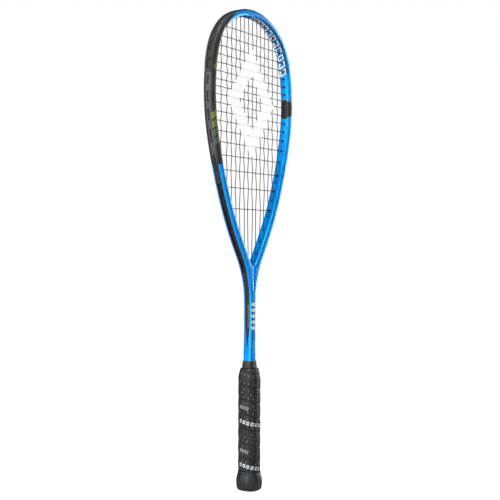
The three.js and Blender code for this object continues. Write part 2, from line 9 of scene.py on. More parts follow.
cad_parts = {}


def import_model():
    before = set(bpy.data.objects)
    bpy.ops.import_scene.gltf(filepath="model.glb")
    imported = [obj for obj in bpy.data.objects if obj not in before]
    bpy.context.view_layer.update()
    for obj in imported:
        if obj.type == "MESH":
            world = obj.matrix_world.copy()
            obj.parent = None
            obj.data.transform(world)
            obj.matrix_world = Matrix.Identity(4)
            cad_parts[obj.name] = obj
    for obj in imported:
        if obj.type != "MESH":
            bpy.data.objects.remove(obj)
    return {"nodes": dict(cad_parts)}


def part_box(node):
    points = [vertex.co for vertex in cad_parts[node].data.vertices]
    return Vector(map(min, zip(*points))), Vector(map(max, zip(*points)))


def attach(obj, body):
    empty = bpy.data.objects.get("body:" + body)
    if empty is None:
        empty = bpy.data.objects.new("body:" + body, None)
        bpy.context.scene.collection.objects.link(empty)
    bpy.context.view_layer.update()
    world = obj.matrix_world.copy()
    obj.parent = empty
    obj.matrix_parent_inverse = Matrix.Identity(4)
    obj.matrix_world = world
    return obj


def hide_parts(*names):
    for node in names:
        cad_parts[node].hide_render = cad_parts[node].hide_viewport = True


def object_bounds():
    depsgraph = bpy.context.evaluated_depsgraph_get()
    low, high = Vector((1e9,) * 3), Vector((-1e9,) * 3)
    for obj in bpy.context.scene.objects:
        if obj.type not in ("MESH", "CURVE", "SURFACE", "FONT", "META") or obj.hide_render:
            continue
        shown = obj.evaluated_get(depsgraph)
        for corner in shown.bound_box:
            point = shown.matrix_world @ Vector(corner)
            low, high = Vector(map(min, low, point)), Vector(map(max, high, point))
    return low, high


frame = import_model()
cad_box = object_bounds()

MM = 0.001
LENGTH = cad_box[1].z / MM

# ---------------------------------------------------------------- driving dimensions, as in the CAD
BEAM_DEPTH = 16.4
SHAFT_DEPTH = 14.4
DEPTH_CHANGE = (270, 340)
BEAM_ROUND = 3.5
FRAME_FOOT_Z = 6
SHAFT_HALF_WIDTH = 7.6
THROAT_APEX_Z = 317.5
INNER_HALF = [
    (0, 672.5), (9, 672.3), (22, 670.9), (40, 665.2), (58, 655.2), (72, 643), (80.4, 628),
    (86.6, 611), (90.5, 588), (92.5, 558), (90.3, 525), (83.7, 491), (74.8, 459), (63.8, 429),
    (51.7, 400), (37.4, 373), (21.5, 346.5), (9.8, 328), (4.6, 321), (0, THROAT_APEX_Z),
]
BUMPER_RISE = 1.8
OUTER_TOP_Z = LENGTH - BUMPER_RISE
OUTER_HALF = [
    (0, OUTER_TOP_Z), (9, 680.6), (22.5, 678.9), (43.5, 672.2), (64.8, 660.3), (80.6, 644.8),
    (91.5, 627), (97.8, 607), (101.6, 583), (102.7, 553), (100, 521), (93.6, 490), (84.8, 460),
    (74.4, 430), (62.3, 400), (49.8, 374), (36.3, 350), (21, 325), (14.4, 311), (9.9, 297),
    (7.2, 283), (6, 268), (5.6, 235), (6.6, 207), (7.2, 190), (SHAFT_HALF_WIDTH, 150),
    (SHAFT_HALF_WIDTH, 100), (SHAFT_HALF_WIDTH, FRAME_FOOT_Z),
]
CHANNEL_DEPTH = 3.0
CHANNEL_HALF = 4.5              # under the bumper and the side strips
THROAT_CHANNEL_HALF = 3.3
CHANNEL_FADE = (300, 313)       # the channel runs out into the shaft between these heights
STRIPE_FOOT = (190, 242)        # the carbon stripe that goes on from it narrows to a point
STRIPE_HALF = 4.3

STRING_R = 0.575
WEAVE = 0.62                    # how far each string bends round the ones that it crosses
MAIN_X = [5.4, 15.4, 25.8, 36.1, 46.8, 57.9, 71.6]
OUTER_FOOT_X = 68.6             # the outermost mains lean in at their feet
CROSS_Z = [
    649.8, 635.3, 621.6, 609.5, 598, 586.2, 575, 565, 554.5, 542.9,
    531.1, 518.6, 504.9, 489.8, 472.2, 452.2, 428.7, 399.5,
]
SIDE_STRIP_TOP_CROSS = 6
SIDE_STRIP_END_CROSS = 15
NORMAL_SHARE = 0.88             # how far a hole turns from its string towards the wall's normal
LOOP_OFFSET = -0.85
PASSING_SIDE = 1.3
LANE_CHANGE = 2.6
KNOT_OFFSET = -0.35
KNOT_RUN = 4.5
BARREL_R = 1.8
BARREL_STICK_OUT = 1.2
BARREL_BORE = 0.75
FRAME_HOLE_R = 1.85

GRIP_HALF = (14.3, 15.4)
GRIP_ROUND = 12
NECK = (158, 178)           # the grip narrows between these heights
NECK_DEPTH = 3.2
GRIP_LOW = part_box("grip_wrap")[0].z / MM
GRIP_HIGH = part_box("grip_wrap")[1].z / MM
WRAP_PITCH = 20.5
WRAP_TURN_SHIFT = 0.577         # where the seam starts, in turns
COLLAR_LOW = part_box("grip_collar")[0].z / MM
COLLAR_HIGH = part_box("grip_collar")[1].z / MM
BUTT_FLARE = 2.6
BUTT_WIDEST_Z = 13.5


def smoothstep(value, low, high):
    share = np.clip((value - low) / (high - low), 0, 1)
    return share * share * (3 - 2 * share)


# ---------------------------------------------------------------- the camera and the studio
VIEW_ANGLE = math.radians(56)   # the camera stands this far round from -Y towards -X
CAMERA_DISTANCE = 1427
CAMERA_HEIGHT = 341.8
CAMERA_SIDE_STEP = 0.15
CAMERA_ROLL = math.radians(-0.2)
CAMERA_LENS = 72


def camera():
    data = bpy.data.cameras.new("camera")
    data.lens = CAMERA_LENS
    data.sensor_width = 36
    item = bpy.data.objects.new("camera", data)
    bpy.context.scene.collection.objects.link(item)
    towards = Vector((math.sin(VIEW_ANGLE), math.cos(VIEW_ANGLE), 0))
    right = Vector((math.cos(VIEW_ANGLE), -math.sin(VIEW_ANGLE), 0))
    place = -CAMERA_DISTANCE * towards + CAMERA_SIDE_STEP * right + Vector((0, 0, CAMERA_HEIGHT))
    item.location = place * MM
    item.rotation_euler = (math.radians(90), CAMERA_ROLL, -VIEW_ANGLE)
    bpy.context.scene.camera = item


def area_light(name, azimuth, elevation, distance, width, height, power):
    """A soft box that faces the racket's middle. Azimuth 0 is at -Y, 90 at -X, as for the camera."""
    data = bpy.data.lights.new(name, "AREA")
    data.shape = "RECTANGLE"
    data.size = width
    data.size_y = height
    data.energy = power
    item = bpy.data.objects.new(name, data)
    bpy.context.scene.collection.objects.link(item)
    a = math.radians(azimuth)
    e = math.radians(elevation)
    direction = Vector((-math.sin(a) * math.cos(e), -math.cos(a) * math.cos(e), math.sin(e)))
    target = Vector((0, 0, LENGTH / 2 * MM))
    item.location = target + direction * distance
    item.rotation_euler = (-direction).to_track_quat("-Z", "Y").to_euler()


def world():
    """The camera sees a white studio; the light that it gives the racket is softer than that."""
    item = bpy.data.worlds.new("studio")
    bpy.context.scene.world = item
    item.use_nodes = True
    nodes = item.node_tree.nodes
    links = item.node_tree.links
    nodes.clear()
    seen = nodes.new("ShaderNodeBackground")
    seen.inputs["Strength"].default_value = 1.0
    fill = nodes.new("ShaderNodeBackground")
    fill.inputs["Strength"].default_value = 0.08
    path = nodes.new("ShaderNodeLightPath")
    mix = nodes.new("ShaderNodeMixShader")
    output = nodes.new("ShaderNodeOutputWorld")
    for background in (seen, fill):
        background.inputs["Color"].default_value = (1, 1, 1, 1)
    links.new(path.outputs["Is Camera Ray"], mix.inputs[0])
    links.new(fill.outputs[0], mix.inputs[1])
    links.new(seen.outputs[0], mix.inputs[2])
    links.new(mix.outputs[0], output.inputs[0])


def studio():
    world()
    area_light("key_left", 99, 14, 1.5, 0.7, 1.4, 27)
    area_light("camera_fill", 30, 10, 1.7, 0.4, 1.3, 7)
    area_light("rim_right", -75, 10, 1.4, 0.4, 1.3, 14)
    area_light("top", 60, 70, 1.2, 0.8, 0.8, 12)
    settings = bpy.context.scene.view_settings
    settings.view_transform = "Standard"
    settings.look = "None"
    settings.exposure = 0
    settings.gamma = 1


# ---------------------------------------------------------------- materials
class Graph:
    """A material's node graph, written as plain arithmetic on sockets."""

    def __init__(self, name):
        self.material = bpy.data.materials.new(name)
        self.material.use_nodes = True
        self.tree = self.material.node_tree
        self.shader = self.tree.nodes["Principled BSDF"]
        self.coords = self.tree.nodes.new("ShaderNodeTexCoord").outputs["Object"]
        self.bump = None

    def link(self, value, socket):
        if isinstance(value, bpy.types.NodeSocket):
            self.tree.links.new(value, socket)
        else:
            socket.default_value = value

    def math(self, operation, *values, clamp=False):
        node = self.tree.nodes.new("ShaderNodeMath")
        node.operation = operation
        node.use_clamp = clamp
        for value, socket in zip(values, node.inputs):
            self.link(value, socket)
        return node.outputs[0]

    def plus(self, first, second):
        return self.math("ADD", first, second)

    def minus(self, first, second, clamp=False):
        return self.math("SUBTRACT", first, second, clamp=clamp)

    def times(self, first, second):
        return self.math("MULTIPLY", first, second)

    def over(self, first, second):
        return self.math("DIVIDE", first, second)

    def modulo(self, value, step):
        return self.math("MODULO", value, step)

    def size_of(self, value):
        return self.math("ABSOLUTE", value)

    def xyz(self):
        node = self.tree.nodes.new("ShaderNodeSeparateXYZ")
        self.link(self.coords, node.inputs[0])
        return [self.over(out, MM) for out in node.outputs]

    def uv(self, layer):
        """The two coordinates of a UV layer, in millimetres."""
        source = self.tree.nodes.new("ShaderNodeUVMap")
        source.uv_map = layer
        node = self.tree.nodes.new("ShaderNodeSeparateXYZ")
        self.link(source.outputs[0], node.inputs[0])
        return [self.over(out, MM) for out in node.outputs[:2]]

    def attribute(self, name):
        node = self.tree.nodes.new("ShaderNodeAttribute")
        node.attribute_name = name
        return node.outputs["Fac"]

    def noise(self, scale, detail=3, roughness=0.5, stretch=(1, 1, 1)):
        mapping = self.tree.nodes.new("ShaderNodeMapping")
        self.link(self.coords, mapping.inputs["Vector"])
        mapping.inputs["Scale"].default_value = stretch
        node = self.tree.nodes.new("ShaderNodeTexNoise")
        self.link(mapping.outputs[0], node.inputs["Vector"])
        node.inputs["Scale"].default_value = scale
        node.inputs["Detail"].default_value = detail
        node.inputs["Roughness"].default_value = roughness
        return node.outputs["Fac"]

    def voronoi(self, scale):
        node = self.tree.nodes.new("ShaderNodeTexVoronoi")
        self.link(self.coords, node.inputs["Vector"])
        node.inputs["Scale"].default_value = scale
        return node.outputs["Distance"]

    def mix(self, share, first, second):
        node = self.tree.nodes.new("ShaderNodeMix")
        node.data_type = "RGBA"
        self.link(share, node.inputs["Factor"])
        for value, socket in ((first, node.inputs[6]), (second, node.inputs[7])):
            self.link((*value, 1) if isinstance(value, tuple) else value, socket)
        return node.outputs[2]

    def remap(self, value, low, high, to_low=0.0, to_high=1.0):
        node = self.tree.nodes.new("ShaderNodeMapRange")
        node.interpolation_type = "SMOOTHSTEP"
        for given, socket in zip((value, low, high, to_low, to_high), node.inputs):
            self.link(given, socket)
        return node.outputs[0]

    def above(self, value, edge, soft=0.12):
        return self.remap(value, edge - soft, edge + soft)

    def below(self, value, edge, soft=0.12):
        return self.remap(value, edge - soft, edge + soft, 1.0, 0.0)

    def between(self, value, low, high, soft=0.12):
        return self.times(self.above(value, low, soft), self.below(value, high, soft))

    def all_of(self, *values):
        result = values[0]
        for value in values[1:]:
            result = self.times(result, value)
        return result

    def any_of(self, *values):
        result = values[0]
        for value in values[1:]:
            result = self.math("MAXIMUM", result, value)
        return result

    def add_bump(self, height, distance):
        """Raises the surface by up to `distance` mm, on top of the bumps given before."""
        node = self.tree.nodes.new("ShaderNodeBump")
        node.inputs["Distance"].default_value = distance * MM
        self.link(height, node.inputs["Height"])
        if self.bump:
            self.link(self.bump, node.inputs["Normal"])
        self.bump = node.outputs[0]

    def finish(self, colour, roughness, **fixed):
        self.link((*colour, 1) if isinstance(colour, tuple) else colour, self.shader.inputs["Base Color"])
        self.link(roughness, self.shader.inputs["Roughness"])
        for name, value in fixed.items():
            self.shader.inputs[name.replace("_", " ").title().replace("Ior", "IOR")].default_value = value
        if self.bump:
            self.link(self.bump, self.shader.inputs["Normal"])
        return self.material


def plastic(name, dark, light, roughness, grain=900, speck=0.03, shade_in_recesses=False):
    """Moulded plastic: a fine spark-eroded grain, with slow changes of tone and gloss. With painted
    shade on, it is darker in its slots and on its barrels, by the `depth` of its vertices; it is also
    darker at its foot."""
    g = Graph(name)
    tone = g.noise(35, detail=4, roughness=0.6)
    fine = g.noise(grain * 2.5, detail=2)
    g.add_bump(fine, speck)
    colour = g.mix(g.remap(tone, 0.3, 0.7), dark, light)
    if shade_in_recesses:
        _, _, z = g.xyz()
        foot = g.below(z, 464, 6)
        # painted shade: the slots and the barrels' mouths grow darker with their depth below the outer line
        inside = g.remap(g.attribute("depth"), 0.5, 1.6)
        colour = g.mix(g.any_of(inside, g.times(foot, 0.8)), colour, (0.003, 0.003, 0.003))
    gloss = g.remap(g.noise(120, detail=3), 0.3, 0.7, roughness - 0.08, roughness + 0.08)
    return g.finish(colour, gloss)


BLUE = (0.0, 0.33, 0.92)
DEEP_BLUE = (0.0, 0.29, 0.86)
ARM_BLACK = (0.012, 0.013, 0.017)
CARBON = (0.012, 0.010, 0.009)
LIME = (0.15, 0.19, 0.012)
OLIVE = (0.075, 0.105, 0.045)
WHITE = (0.95, 0.96, 0.97)


def black_arm(g, x, z, along, wall_reach):
    """The upper left arm. Its edge at the top slants over the beam, lower on the inner wall."""
    slant = g.minus(along, g.times(wall_reach, 4.4))
    lower = g.plus(z, g.times(x, -0.18))
    return g.all_of(g.below(slant, -112.8, 0.4), g.above(lower, 472.4), g.below(x, 0))


def frame_paint():
    g = Graph("frame_paint")
    x, y, z = g.xyz()
    along, side_way = g.uv("from_outside")
    _, wall_way = g.uv("from_inside")
    side_reach = g.size_of(side_way)
    wall_reach = g.size_of(wall_way)

    flake = g.noise(2600, detail=1)
    cloud = g.noise(14, detail=3)
    colour = g.mix(g.remap(cloud, 0.35, 0.65), BLUE, DEEP_BLUE)
    colour = g.mix(g.times(g.above(flake, 0.62, 0.05), 0.25), colour, (0.01, 0.25, 0.95))

    # The outer side carries a bare carbon stripe that ends in a point on the shaft.
    stripe_half = g.remap(z, *STRIPE_FOOT, 0.0, STRIPE_HALF)
    in_channel = g.remap(z, *CHANNEL_FADE, 0.0, CHANNEL_DEPTH)
    from_top = g.size_of(along)
    wide = g.remap(from_top, STRIP_END, STRIP_END + 2, CHANNEL_HALF - STRIPE_HALF, 0.0)
    limit = g.plus(g.plus(stripe_half, in_channel), wide)
    carbon = g.all_of(g.below(g.minus(side_reach, limit), 0), g.above(z, STRIPE_FOOT[0]))
    weave = g.noise(500, detail=2, stretch=(1, 1, 0.4))
    carbon_colour = g.mix(g.remap(weave, 0.35, 0.65), CARBON, (0.028, 0.021, 0.017))
    colour = g.mix(carbon, colour, carbon_colour)

    black = black_arm(g, x, z, along, wall_reach)
    black_colour = g.mix(g.remap(g.noise(90, detail=4), 0.35, 0.65), ARM_BLACK, (0.020, 0.022, 0.028))
    colour = g.mix(black, colour, black_colour)

    colour = with_arm_stripes(g, colour, x, y, z, wall_reach)
    colour = with_side_patch(g, colour, x, z, wall_reach)
    colour, head_white = with_head_bars(g, colour, along, wall_way, x)
    colour, shaft_white = with_shaft_bars(g, colour, x, y, z)

    flat = g.any_of(carbon, black, head_white, shaft_white)
    g.link(g.minus(0.5, g.times(flat, 0.5)), g.shader.inputs["Metallic"])
    rough = g.remap(g.noise(60, detail=4, roughness=0.6), 0.3, 0.7, 0.24, 0.34)
    rough = g.plus(rough, g.times(g.any_of(carbon, black), 0.14))
    g.add_bump(g.noise(700, detail=2), 0.012)
    return g.finish(colour, rough, coat_weight=0.12, coat_roughness=0.08, specular_ior_level=0.2)


STRIPE_PITCH = 11.4
STRIPE_HEIGHT = 8.6
SHOULDER_BAR_HEIGHT = 7.2
HATCH_PITCH = 2.15
STRIPE_SLOPE = 0.62             # how much a bar falls for each millimetre away from the inner edge


def with_arm_stripes(g, colour, x, y, z, wall_reach):
    """Slanting bars on the left arm: four lower ones, and two near the shoulder that slant back."""
    across = g.minus(wall_reach, BEAM_DEPTH / 2 - BEAM_ROUND / 2)
    left = g.below(x, 0)
    far = g.minus(12.6, g.times(g.above(y, 0), 3.6))
    in_face = g.all_of(g.above(across, 0.2), g.below(g.minus(across, far), 0))
    falling = g.plus(z, g.times(across, STRIPE_SLOPE))
    for number, paint in enumerate((LIME, LIME, OLIVE, OLIVE)):
        top = 533 - number * STRIPE_PITCH
        hatch = g.above(g.modulo(g.minus(falling, 400), HATCH_PITCH), 0.5, 0.25)
        bar = g.all_of(left, in_face, g.between(falling, top - STRIPE_HEIGHT, top))
        colour = g.mix(g.all_of(bar, hatch), colour, paint)
    rising = g.minus(z, g.times(across, STRIPE_SLOPE))
    for low, reach in ((580.5, 8.5), (591.0, 5.0)):
        hatch = g.above(g.modulo(rising, HATCH_PITCH), 0.5, 0.25)
        in_reach = g.all_of(g.above(across, 0.2), g.below(across, reach))
        bar = g.all_of(left, in_reach, g.between(rising, low, low + SHOULDER_BAR_HEIGHT), hatch)
        colour = g.mix(bar, colour, LIME)
    return colour


PATCH_Z = 553
PATCH_HALF = 15.6


def with_side_patch(g, colour, x, z, wall_reach):
    """A six-sided dark patch with an olive edge round the right arm's inside."""
    from_middle = g.size_of(g.minus(z, PATCH_Z))
    edge = g.plus(from_middle, g.times(wall_reach, 0.42))
    right = g.above(x, 0)
    outside = g.all_of(right, g.below(edge, PATCH_HALF), g.below(wall_reach, 19))
    inside = g.all_of(right, g.below(edge, PATCH_HALF - 1.5), g.below(wall_reach, 19))
    colour = g.mix(outside, colour, (0.14, 0.17, 0.03))
    return g.mix(inside, colour, (0.030, 0.031, 0.036))


BAR_PITCH = 12.4
BAR_HALF = 4.6
BAR_REACH = 5.4
BAR_SPAN = (0, 136.4)


def with_head_bars(g, colour, along, wall_way, x):
    """Plain outlined bars along the inner wall from the top round to the right arm."""
    slanted = g.plus(along, g.times(wall_way, -0.5))
    in_pitch = g.modulo(g.minus(slanted, BAR_SPAN[0]), BAR_PITCH)
    lengthways = g.size_of(g.minus(in_pitch, BAR_PITCH / 2))
    sideways = g.size_of(wall_way)
    rim = g.math(
        "MAXIMUM", g.minus(lengthways, BAR_HALF), g.minus(sideways, BAR_REACH),
    )
    shadow_way = g.size_of(g.plus(wall_way, 1.5))
    past_end = g.minus(lengthways, BAR_HALF)
    shadow_rim = g.math("MAXIMUM", past_end, g.minus(shadow_way, BAR_REACH))
    place = g.all_of(g.between(slanted, *BAR_SPAN), g.above(x, 0))
    shadow = g.all_of(place, g.below(shadow_rim, 0.7))
    white = g.all_of(place, g.between(rim, -1.9, 0))
    middle = g.all_of(place, g.below(rim, -1.9))
    colour = g.mix(shadow, colour, (0.008, 0.01, 0.02))
    colour = g.mix(middle, colour, BLUE)
    return g.mix(white, colour, WHITE), white


def with_shaft_bars(g, colour, x, y, z):
    """Five plain white bars on the shaft's front face, and a row of dashes on the carbon stripe."""
    front = g.below(y, -5.0)
    in_pitch = g.modulo(g.minus(z, 227), 8.4)
    bars = g.all_of(
        front, g.between(z, 227, 268.5), g.between(in_pitch, 1.6, 6.2), g.between(x, -4.4, 3.2),
    )
    colour = g.mix(bars, colour, WHITE)
    dash = g.modulo(z, 2.6)
    dashes = g.all_of(
        g.below(x, -5.5), g.between(z, 231, 264), g.between(dash, 0.5, 1.9), g.between(y, -1.6, -0.9, 0.06),
    )
    return g.mix(dashes, colour, (0.45, 0.45, 0.46)), bars


STENCIL_CENTRE = (2, 552)
STENCIL_HALF = (58, 80)


def string_look():
    """Dark multifilament strings, with a plain diamond-shaped ring stencilled on the bed in white."""
    g = Graph("string_look")
    x, y, z = g.xyz()
    wide = g.over(g.size_of(g.minus(x, STENCIL_CENTRE[0])), STENCIL_HALF[0])
    tall = g.over(g.size_of(g.minus(z, STENCIL_CENTRE[1])), STENCIL_HALF[1])
    size = g.plus(wide, tall)
    ragged = g.plus(size, g.times(g.minus(g.noise(320, detail=2), 0.5), 0.07))
    ring = g.times(g.above(ragged, 0.52, 0.01), g.below(ragged, 1.0, 0.01))
    worn = g.remap(g.noise(900, detail=2), 0.26, 0.38, 0.6, 1.0)
    in_bed = g.below(g.size_of(y), 1.5)
    tone = g.remap(g.noise(400, detail=3), 0.3, 0.7)
    colour = g.mix(tone, (0.012, 0.010, 0.010), (0.032, 0.028, 0.028))
    colour = g.mix(g.all_of(ring, worn, in_bed), colour, (0.95, 0.95, 0.95))
    g.add_bump(g.noise(5000, detail=2), 0.02)
    return g.finish(colour, 0.42)


PRINT_TOP = 140


def grip_look():
    """Perforated black wrap. The prints follow the strip, which winds down to the right."""
    g = Graph("grip_look")
    x, y, z = g.xyz()
    turn = g.over(g.math("ARCTAN2", y, x), 2 * math.pi)
    height = g.over(g.minus(z, GRIP_LOW), WRAP_PITCH)
    strips = g.plus(g.plus(height, turn), WRAP_TURN_SHIFT)
    strip_number = g.math("FLOOR", strips)
    across = g.times(g.minus(strips, g.plus(strip_number, 0.5)), WRAP_PITCH)
    run = g.minus(turn, strip_number)
    run = g.times(g.modulo(g.plus(run, 60), 3), GRIP_GIRTH)
    slanted = g.minus(run, g.times(across, 0.35))

    small_start, small_stop = 1.5 * GRIP_GIRTH - 7, 1.5 * GRIP_GIRTH + 8
    small_step = g.modulo(slanted, 3.9)
    small = g.all_of(
        g.between(run, small_start, small_stop),
        g.between(across, -2.2, 2.2),
        g.between(small_step, 0.4, 2.9),
    )
    small_hollow = g.all_of(g.between(across, -1.3, 1.3), g.between(small_step, 1.1, 2.2))
    small = g.minus(small, small_hollow, clamp=True)
    big_start, big_stop = 2.6 * GRIP_GIRTH - 17, 2.6 * GRIP_GIRTH + 26
    big_step = g.modulo(slanted, 6.4)
    big = g.all_of(
        g.between(run, big_start, big_stop), g.between(across, -2.5, 2.5), g.between(big_step, 0.8, 4.9),
    )
    big_hollow = g.all_of(g.between(across, -1.3, 1.3), g.between(big_step, 2.2, 3.8))
    big = g.minus(big, big_hollow, clamp=True)
    print_mask = g.all_of(g.any_of(g.times(small, 0.55), big), g.below(z, PRINT_TOP))

    tone = g.remap(g.noise(30, detail=4, roughness=0.6), 0.3, 0.7)
    colour = g.mix(tone, (0.006, 0.006, 0.007), (0.015, 0.015, 0.016))
    colour = g.mix(print_mask, colour, (0.62, 0.64, 0.66))
    hole = g.times(g.attribute("hole"), g.remap(g.noise(260, detail=1), 0.4, 0.6, 0.4, 1.0))
    colour = g.mix(g.remap(hole, 0.25, 0.6, 0.0, 0.95), colour, (0.66, 0.66, 0.67))
    g.add_bump(g.noise(1500, detail=3), 0.05)
    g.add_bump(g.voronoi(1400), 0.03)
    gloss = g.remap(g.noise(80, detail=3), 0.3, 0.7, 0.42, 0.58)
    return g.finish(colour, gloss, specular_ior_level=0.35, sheen_weight=0.06, sheen_roughness=0.4)


def foam_look():
    g = Graph("foam_look")
    cells = g.voronoi(1100)
    colour = g.mix(g.remap(cells, 0.1, 0.6), (0.36, 0.31, 0.20), (0.55, 0.49, 0.36))
    g.add_bump(cells, 0.1)
    return g.finish(colour, 0.85)


def steel_look():
    g = Graph("steel_look")
    brushed = g.noise(800, detail=3, stretch=(1, 1, 12))
    colour = g.mix(brushed, (0.45, 0.46, 0.48), (0.65, 0.66, 0.68))
    g.add_bump(brushed, 0.01)
    return g.finish(colour, 0.3, metallic=1.0)


# ---------------------------------------------------------------- lines of the head
def smooth_line(points, per_span=24):
    """Points along a centripetal Catmull-Rom curve through the given ones."""
    given = [np.array(p, float) for p in points]
    given = [2 * given[0] - given[1], *given, 2 * given[-1] - given[-2]]
    line = []
    for before, start, stop, after in zip(given, given[1:], given[2:], given[3:]):
        first = math.sqrt(np.linalg.norm(start - before))
        middle = math.sqrt(np.linalg.norm(stop - start))
        last = math.sqrt(np.linalg.norm(after - stop))
        leaving = (start - before) / first - (stop - before) / (first + middle) + (stop - start) / middle
        arriving = (stop - start) / middle - (after - start) / (middle + last) + (after - stop) / last
        for i in range(per_span):
            t = i / per_span
            line.append(
                (2 * t**3 - 3 * t**2 + 1) * start + (t**3 - 2 * t**2 + t) * middle * leaving
                + (3 * t**2 - 2 * t**3) * stop + (t**3 - t**2) * middle * arriving
            )
    line.append(given[-2])
    return np.array(line)


class Line:
    """A line in X and Z that is symmetric about X = 0. Places on it are lengths from the top."""

    def __init__(self, half_points, spacing=0.4):
        half = smooth_line(half_points)
        reached = np.concatenate([[0], np.cumsum(np.linalg.norm(np.diff(half, axis=0), axis=1))])
        count = int(reached[-1] / spacing)
        even = np.linspace(0, reached[-1], count + 1)
        half = np.column_stack([np.interp(even, reached, half[:, 0]), np.interp(even, reached, half[:, 1])])
        self.reach = reached[-1]
        self.places = np.concatenate([-even[:0:-1], even])
        self.points = np.concatenate([half[:0:-1] * (-1, 1), half])
        along = np.gradient(self.points, axis=0)
        along /= np.linalg.norm(along, axis=1)[:, None]
        self.normals = np.column_stack([-along[:, 1], along[:, 0]])

    def normal(self, place):
        n = np.array([np.interp(place, self.places, self.normals[:, i]) for i in (0, 1)])
        return n / np.linalg.norm(n)

    def at(self, place, out=0.0):
        p = np.array([np.interp(place, self.places, self.points[:, i]) for i in (0, 1)])
        return p + out * self.normal(place)

    def hit(self, start, direction, out=0.0):
        """Where a ray first meets the line moved out by `out`: the point and its place."""
        line = self.points + out * self.normals
        step = np.diff(line, axis=0)
        gap = line[:-1] - start
        turn = direction[0] * step[:, 1] - direction[1] * step[:, 0]
        turn[turn == 0] = 1e-12
        far = (gap[:, 0] * step[:, 1] - gap[:, 1] * step[:, 0]) / turn
        share = (gap[:, 0] * direction[1] - gap[:, 1] * direction[0]) / turn
        meets = (far >= 0) & (share >= 0) & (share < 1)
        if not meets.any():
            return None, None
        far[~meets] = np.inf
        i = int(np.argmin(far))
        place = self.places[i] + share[i] * (self.places[i + 1] - self.places[i])
        return start + direction * far[i], place


outer = Line(OUTER_HALF)
inner = Line(INNER_HALF)
outer_tree = KDTree(len(outer.points))
for number, point in enumerate(outer.points):
    outer_tree.insert((*point, 0), number)
outer_tree.balance()


def unit(vector):
    return vector / np.linalg.norm(vector)


# ---------------------------------------------------------------- string holes
class Hole:
    """A hole through the beam for a string that reaches the inner wall along `heading`."""

    def __init__(self, start, heading):
        self.wall, place = inner.hit(np.array(start, float), heading)
        self.direction = unit((1 - NORMAL_SHARE) * heading + NORMAL_SHARE * inner.normal(place))
        self.exit, self.place = outer.hit(self.wall, self.direction, LOOP_OFFSET)

    def inwards(self, distance):
        return self.wall - distance * self.direction

    def outwards(self, distance):
        return self.exit + distance * self.direction


UP = np.array([0.0, 1.0])
DOWN = -UP
RIGHT = np.array([1.0, 0.0])


class Cross:
    def __init__(self, z):
        self.z = z
        self.right = Hole((0, z), RIGHT)
        self.left = Hole((0, z), -RIGHT)


crosses = [Cross(z) for z in CROSS_Z]


def towards_outer_foot(bend, side):
    half = inner.points[inner.places >= 0]
    low = np.flatnonzero(half[:, 0] > OUTER_FOOT_X)[-1]
    share = (half[low, 0] - OUTER_FOOT_X) / (half[low, 0] - half[low + 1, 0])
    foot = half[low] + share * (half[low + 1] - half[low])
    return unit(foot * (side, 1) - bend)


class Main:
    """A main string, upright from its top down to its last cross string."""

    def __init__(self, x, side):
        crossed = [k for k, cross in enumerate(crosses) if cross.right.wall[0] > x + BARREL_STICK_OUT]
        self.x = side * x
        self.crossed = crossed
        crown = np.array([self.x, crosses[crossed[0]].z])
        bend = np.array([self.x, crosses[crossed[-1]].z])
        self.top = Hole(crown, UP)
        self.foot = Hole(bend, towards_outer_foot(bend, side) if x == MAIN_X[-1] else DOWN)


mains = sorted(
    (Main(x, side) for side in (-1, 1) for x in MAIN_X),
    key=lambda main: main.x,
)


# ---------------------------------------------------------------- mesh helpers
def new_piece(name, vertices, faces, material, sharp=40, uv_layers=None):
    """A mesh object from points in millimetres."""
    mesh = bpy.data.meshes.new(name)
    mesh.from_pydata([tuple(v) for v in np.asarray(vertices) * MM], [], faces)
    if uv_layers:
        for layer_name, values in uv_layers.items():
            layer = mesh.uv_layers.new(name=layer_name)
            layer.data.foreach_set("uv", (np.asarray(values, np.float32) * MM).ravel())
    tidy(mesh)
    item = bpy.data.objects.new(name, mesh)
    bpy.context.scene.collection.objects.link(item)
    if material:
        mesh.materials.append(material)
    smooth(mesh, sharp)
    return item


def tidy(mesh):
    """Joins doubled vertices, drops what has no area and turns the faces outwards."""
    bm = bmesh.new()
    bm.from_mesh(mesh)
    bmesh.ops.remove_doubles(bm, verts=bm.verts, dist=1e-6)
    bmesh.ops.dissolve_degenerate(bm, edges=bm.edges, dist=1e-7)
    loose = [v for v in bm.verts if not v.link_faces]
    bmesh.ops.delete(bm, geom=loose, context="VERTS")
    bmesh.ops.recalc_face_normals(bm, faces=bm.faces)
    bm.to_mesh(mesh)
    bm.free()


def smooth(mesh, sharp):
    mesh.shade_smooth()
    mesh.set_sharp_from_angle(angle=math.radians(sharp))


def grid_faces(rows, columns, wrap_columns=False):
    faces = []
    for i in range(rows - 1):
        for j in range(columns if wrap_columns else columns - 1):
            a = i * columns + j
            b = i * columns + (j + 1) % columns
            faces.append((a, b, b + columns, a + columns))
    return faces


def closed_faces(rows, columns):
    """The faces of a closed tube: its rows run round it, and each end gets one face."""
    faces = grid_faces(rows, columns, wrap_columns=True)
    faces.append(tuple(range(columns)))
    faces.append(tuple((rows - 1) * columns + k for k in reversed(range(columns))))
    return faces


def cut_or_join(item, others, operation):
    """Applies a boolean with each of the other pieces, which are then removed."""
    for other in others:
        modifier = item.modifiers.new(operation, "BOOLEAN")
        modifier.operation = operation
        modifier.solver = "MANIFOLD"
        modifier.object = other
        shaped = bpy.data.meshes.new_from_object(
            item.evaluated_get(bpy.context.evaluated_depsgraph_get())
        )
        item.modifiers.clear()
        item.data = shaped
        bpy.data.objects.remove(other)


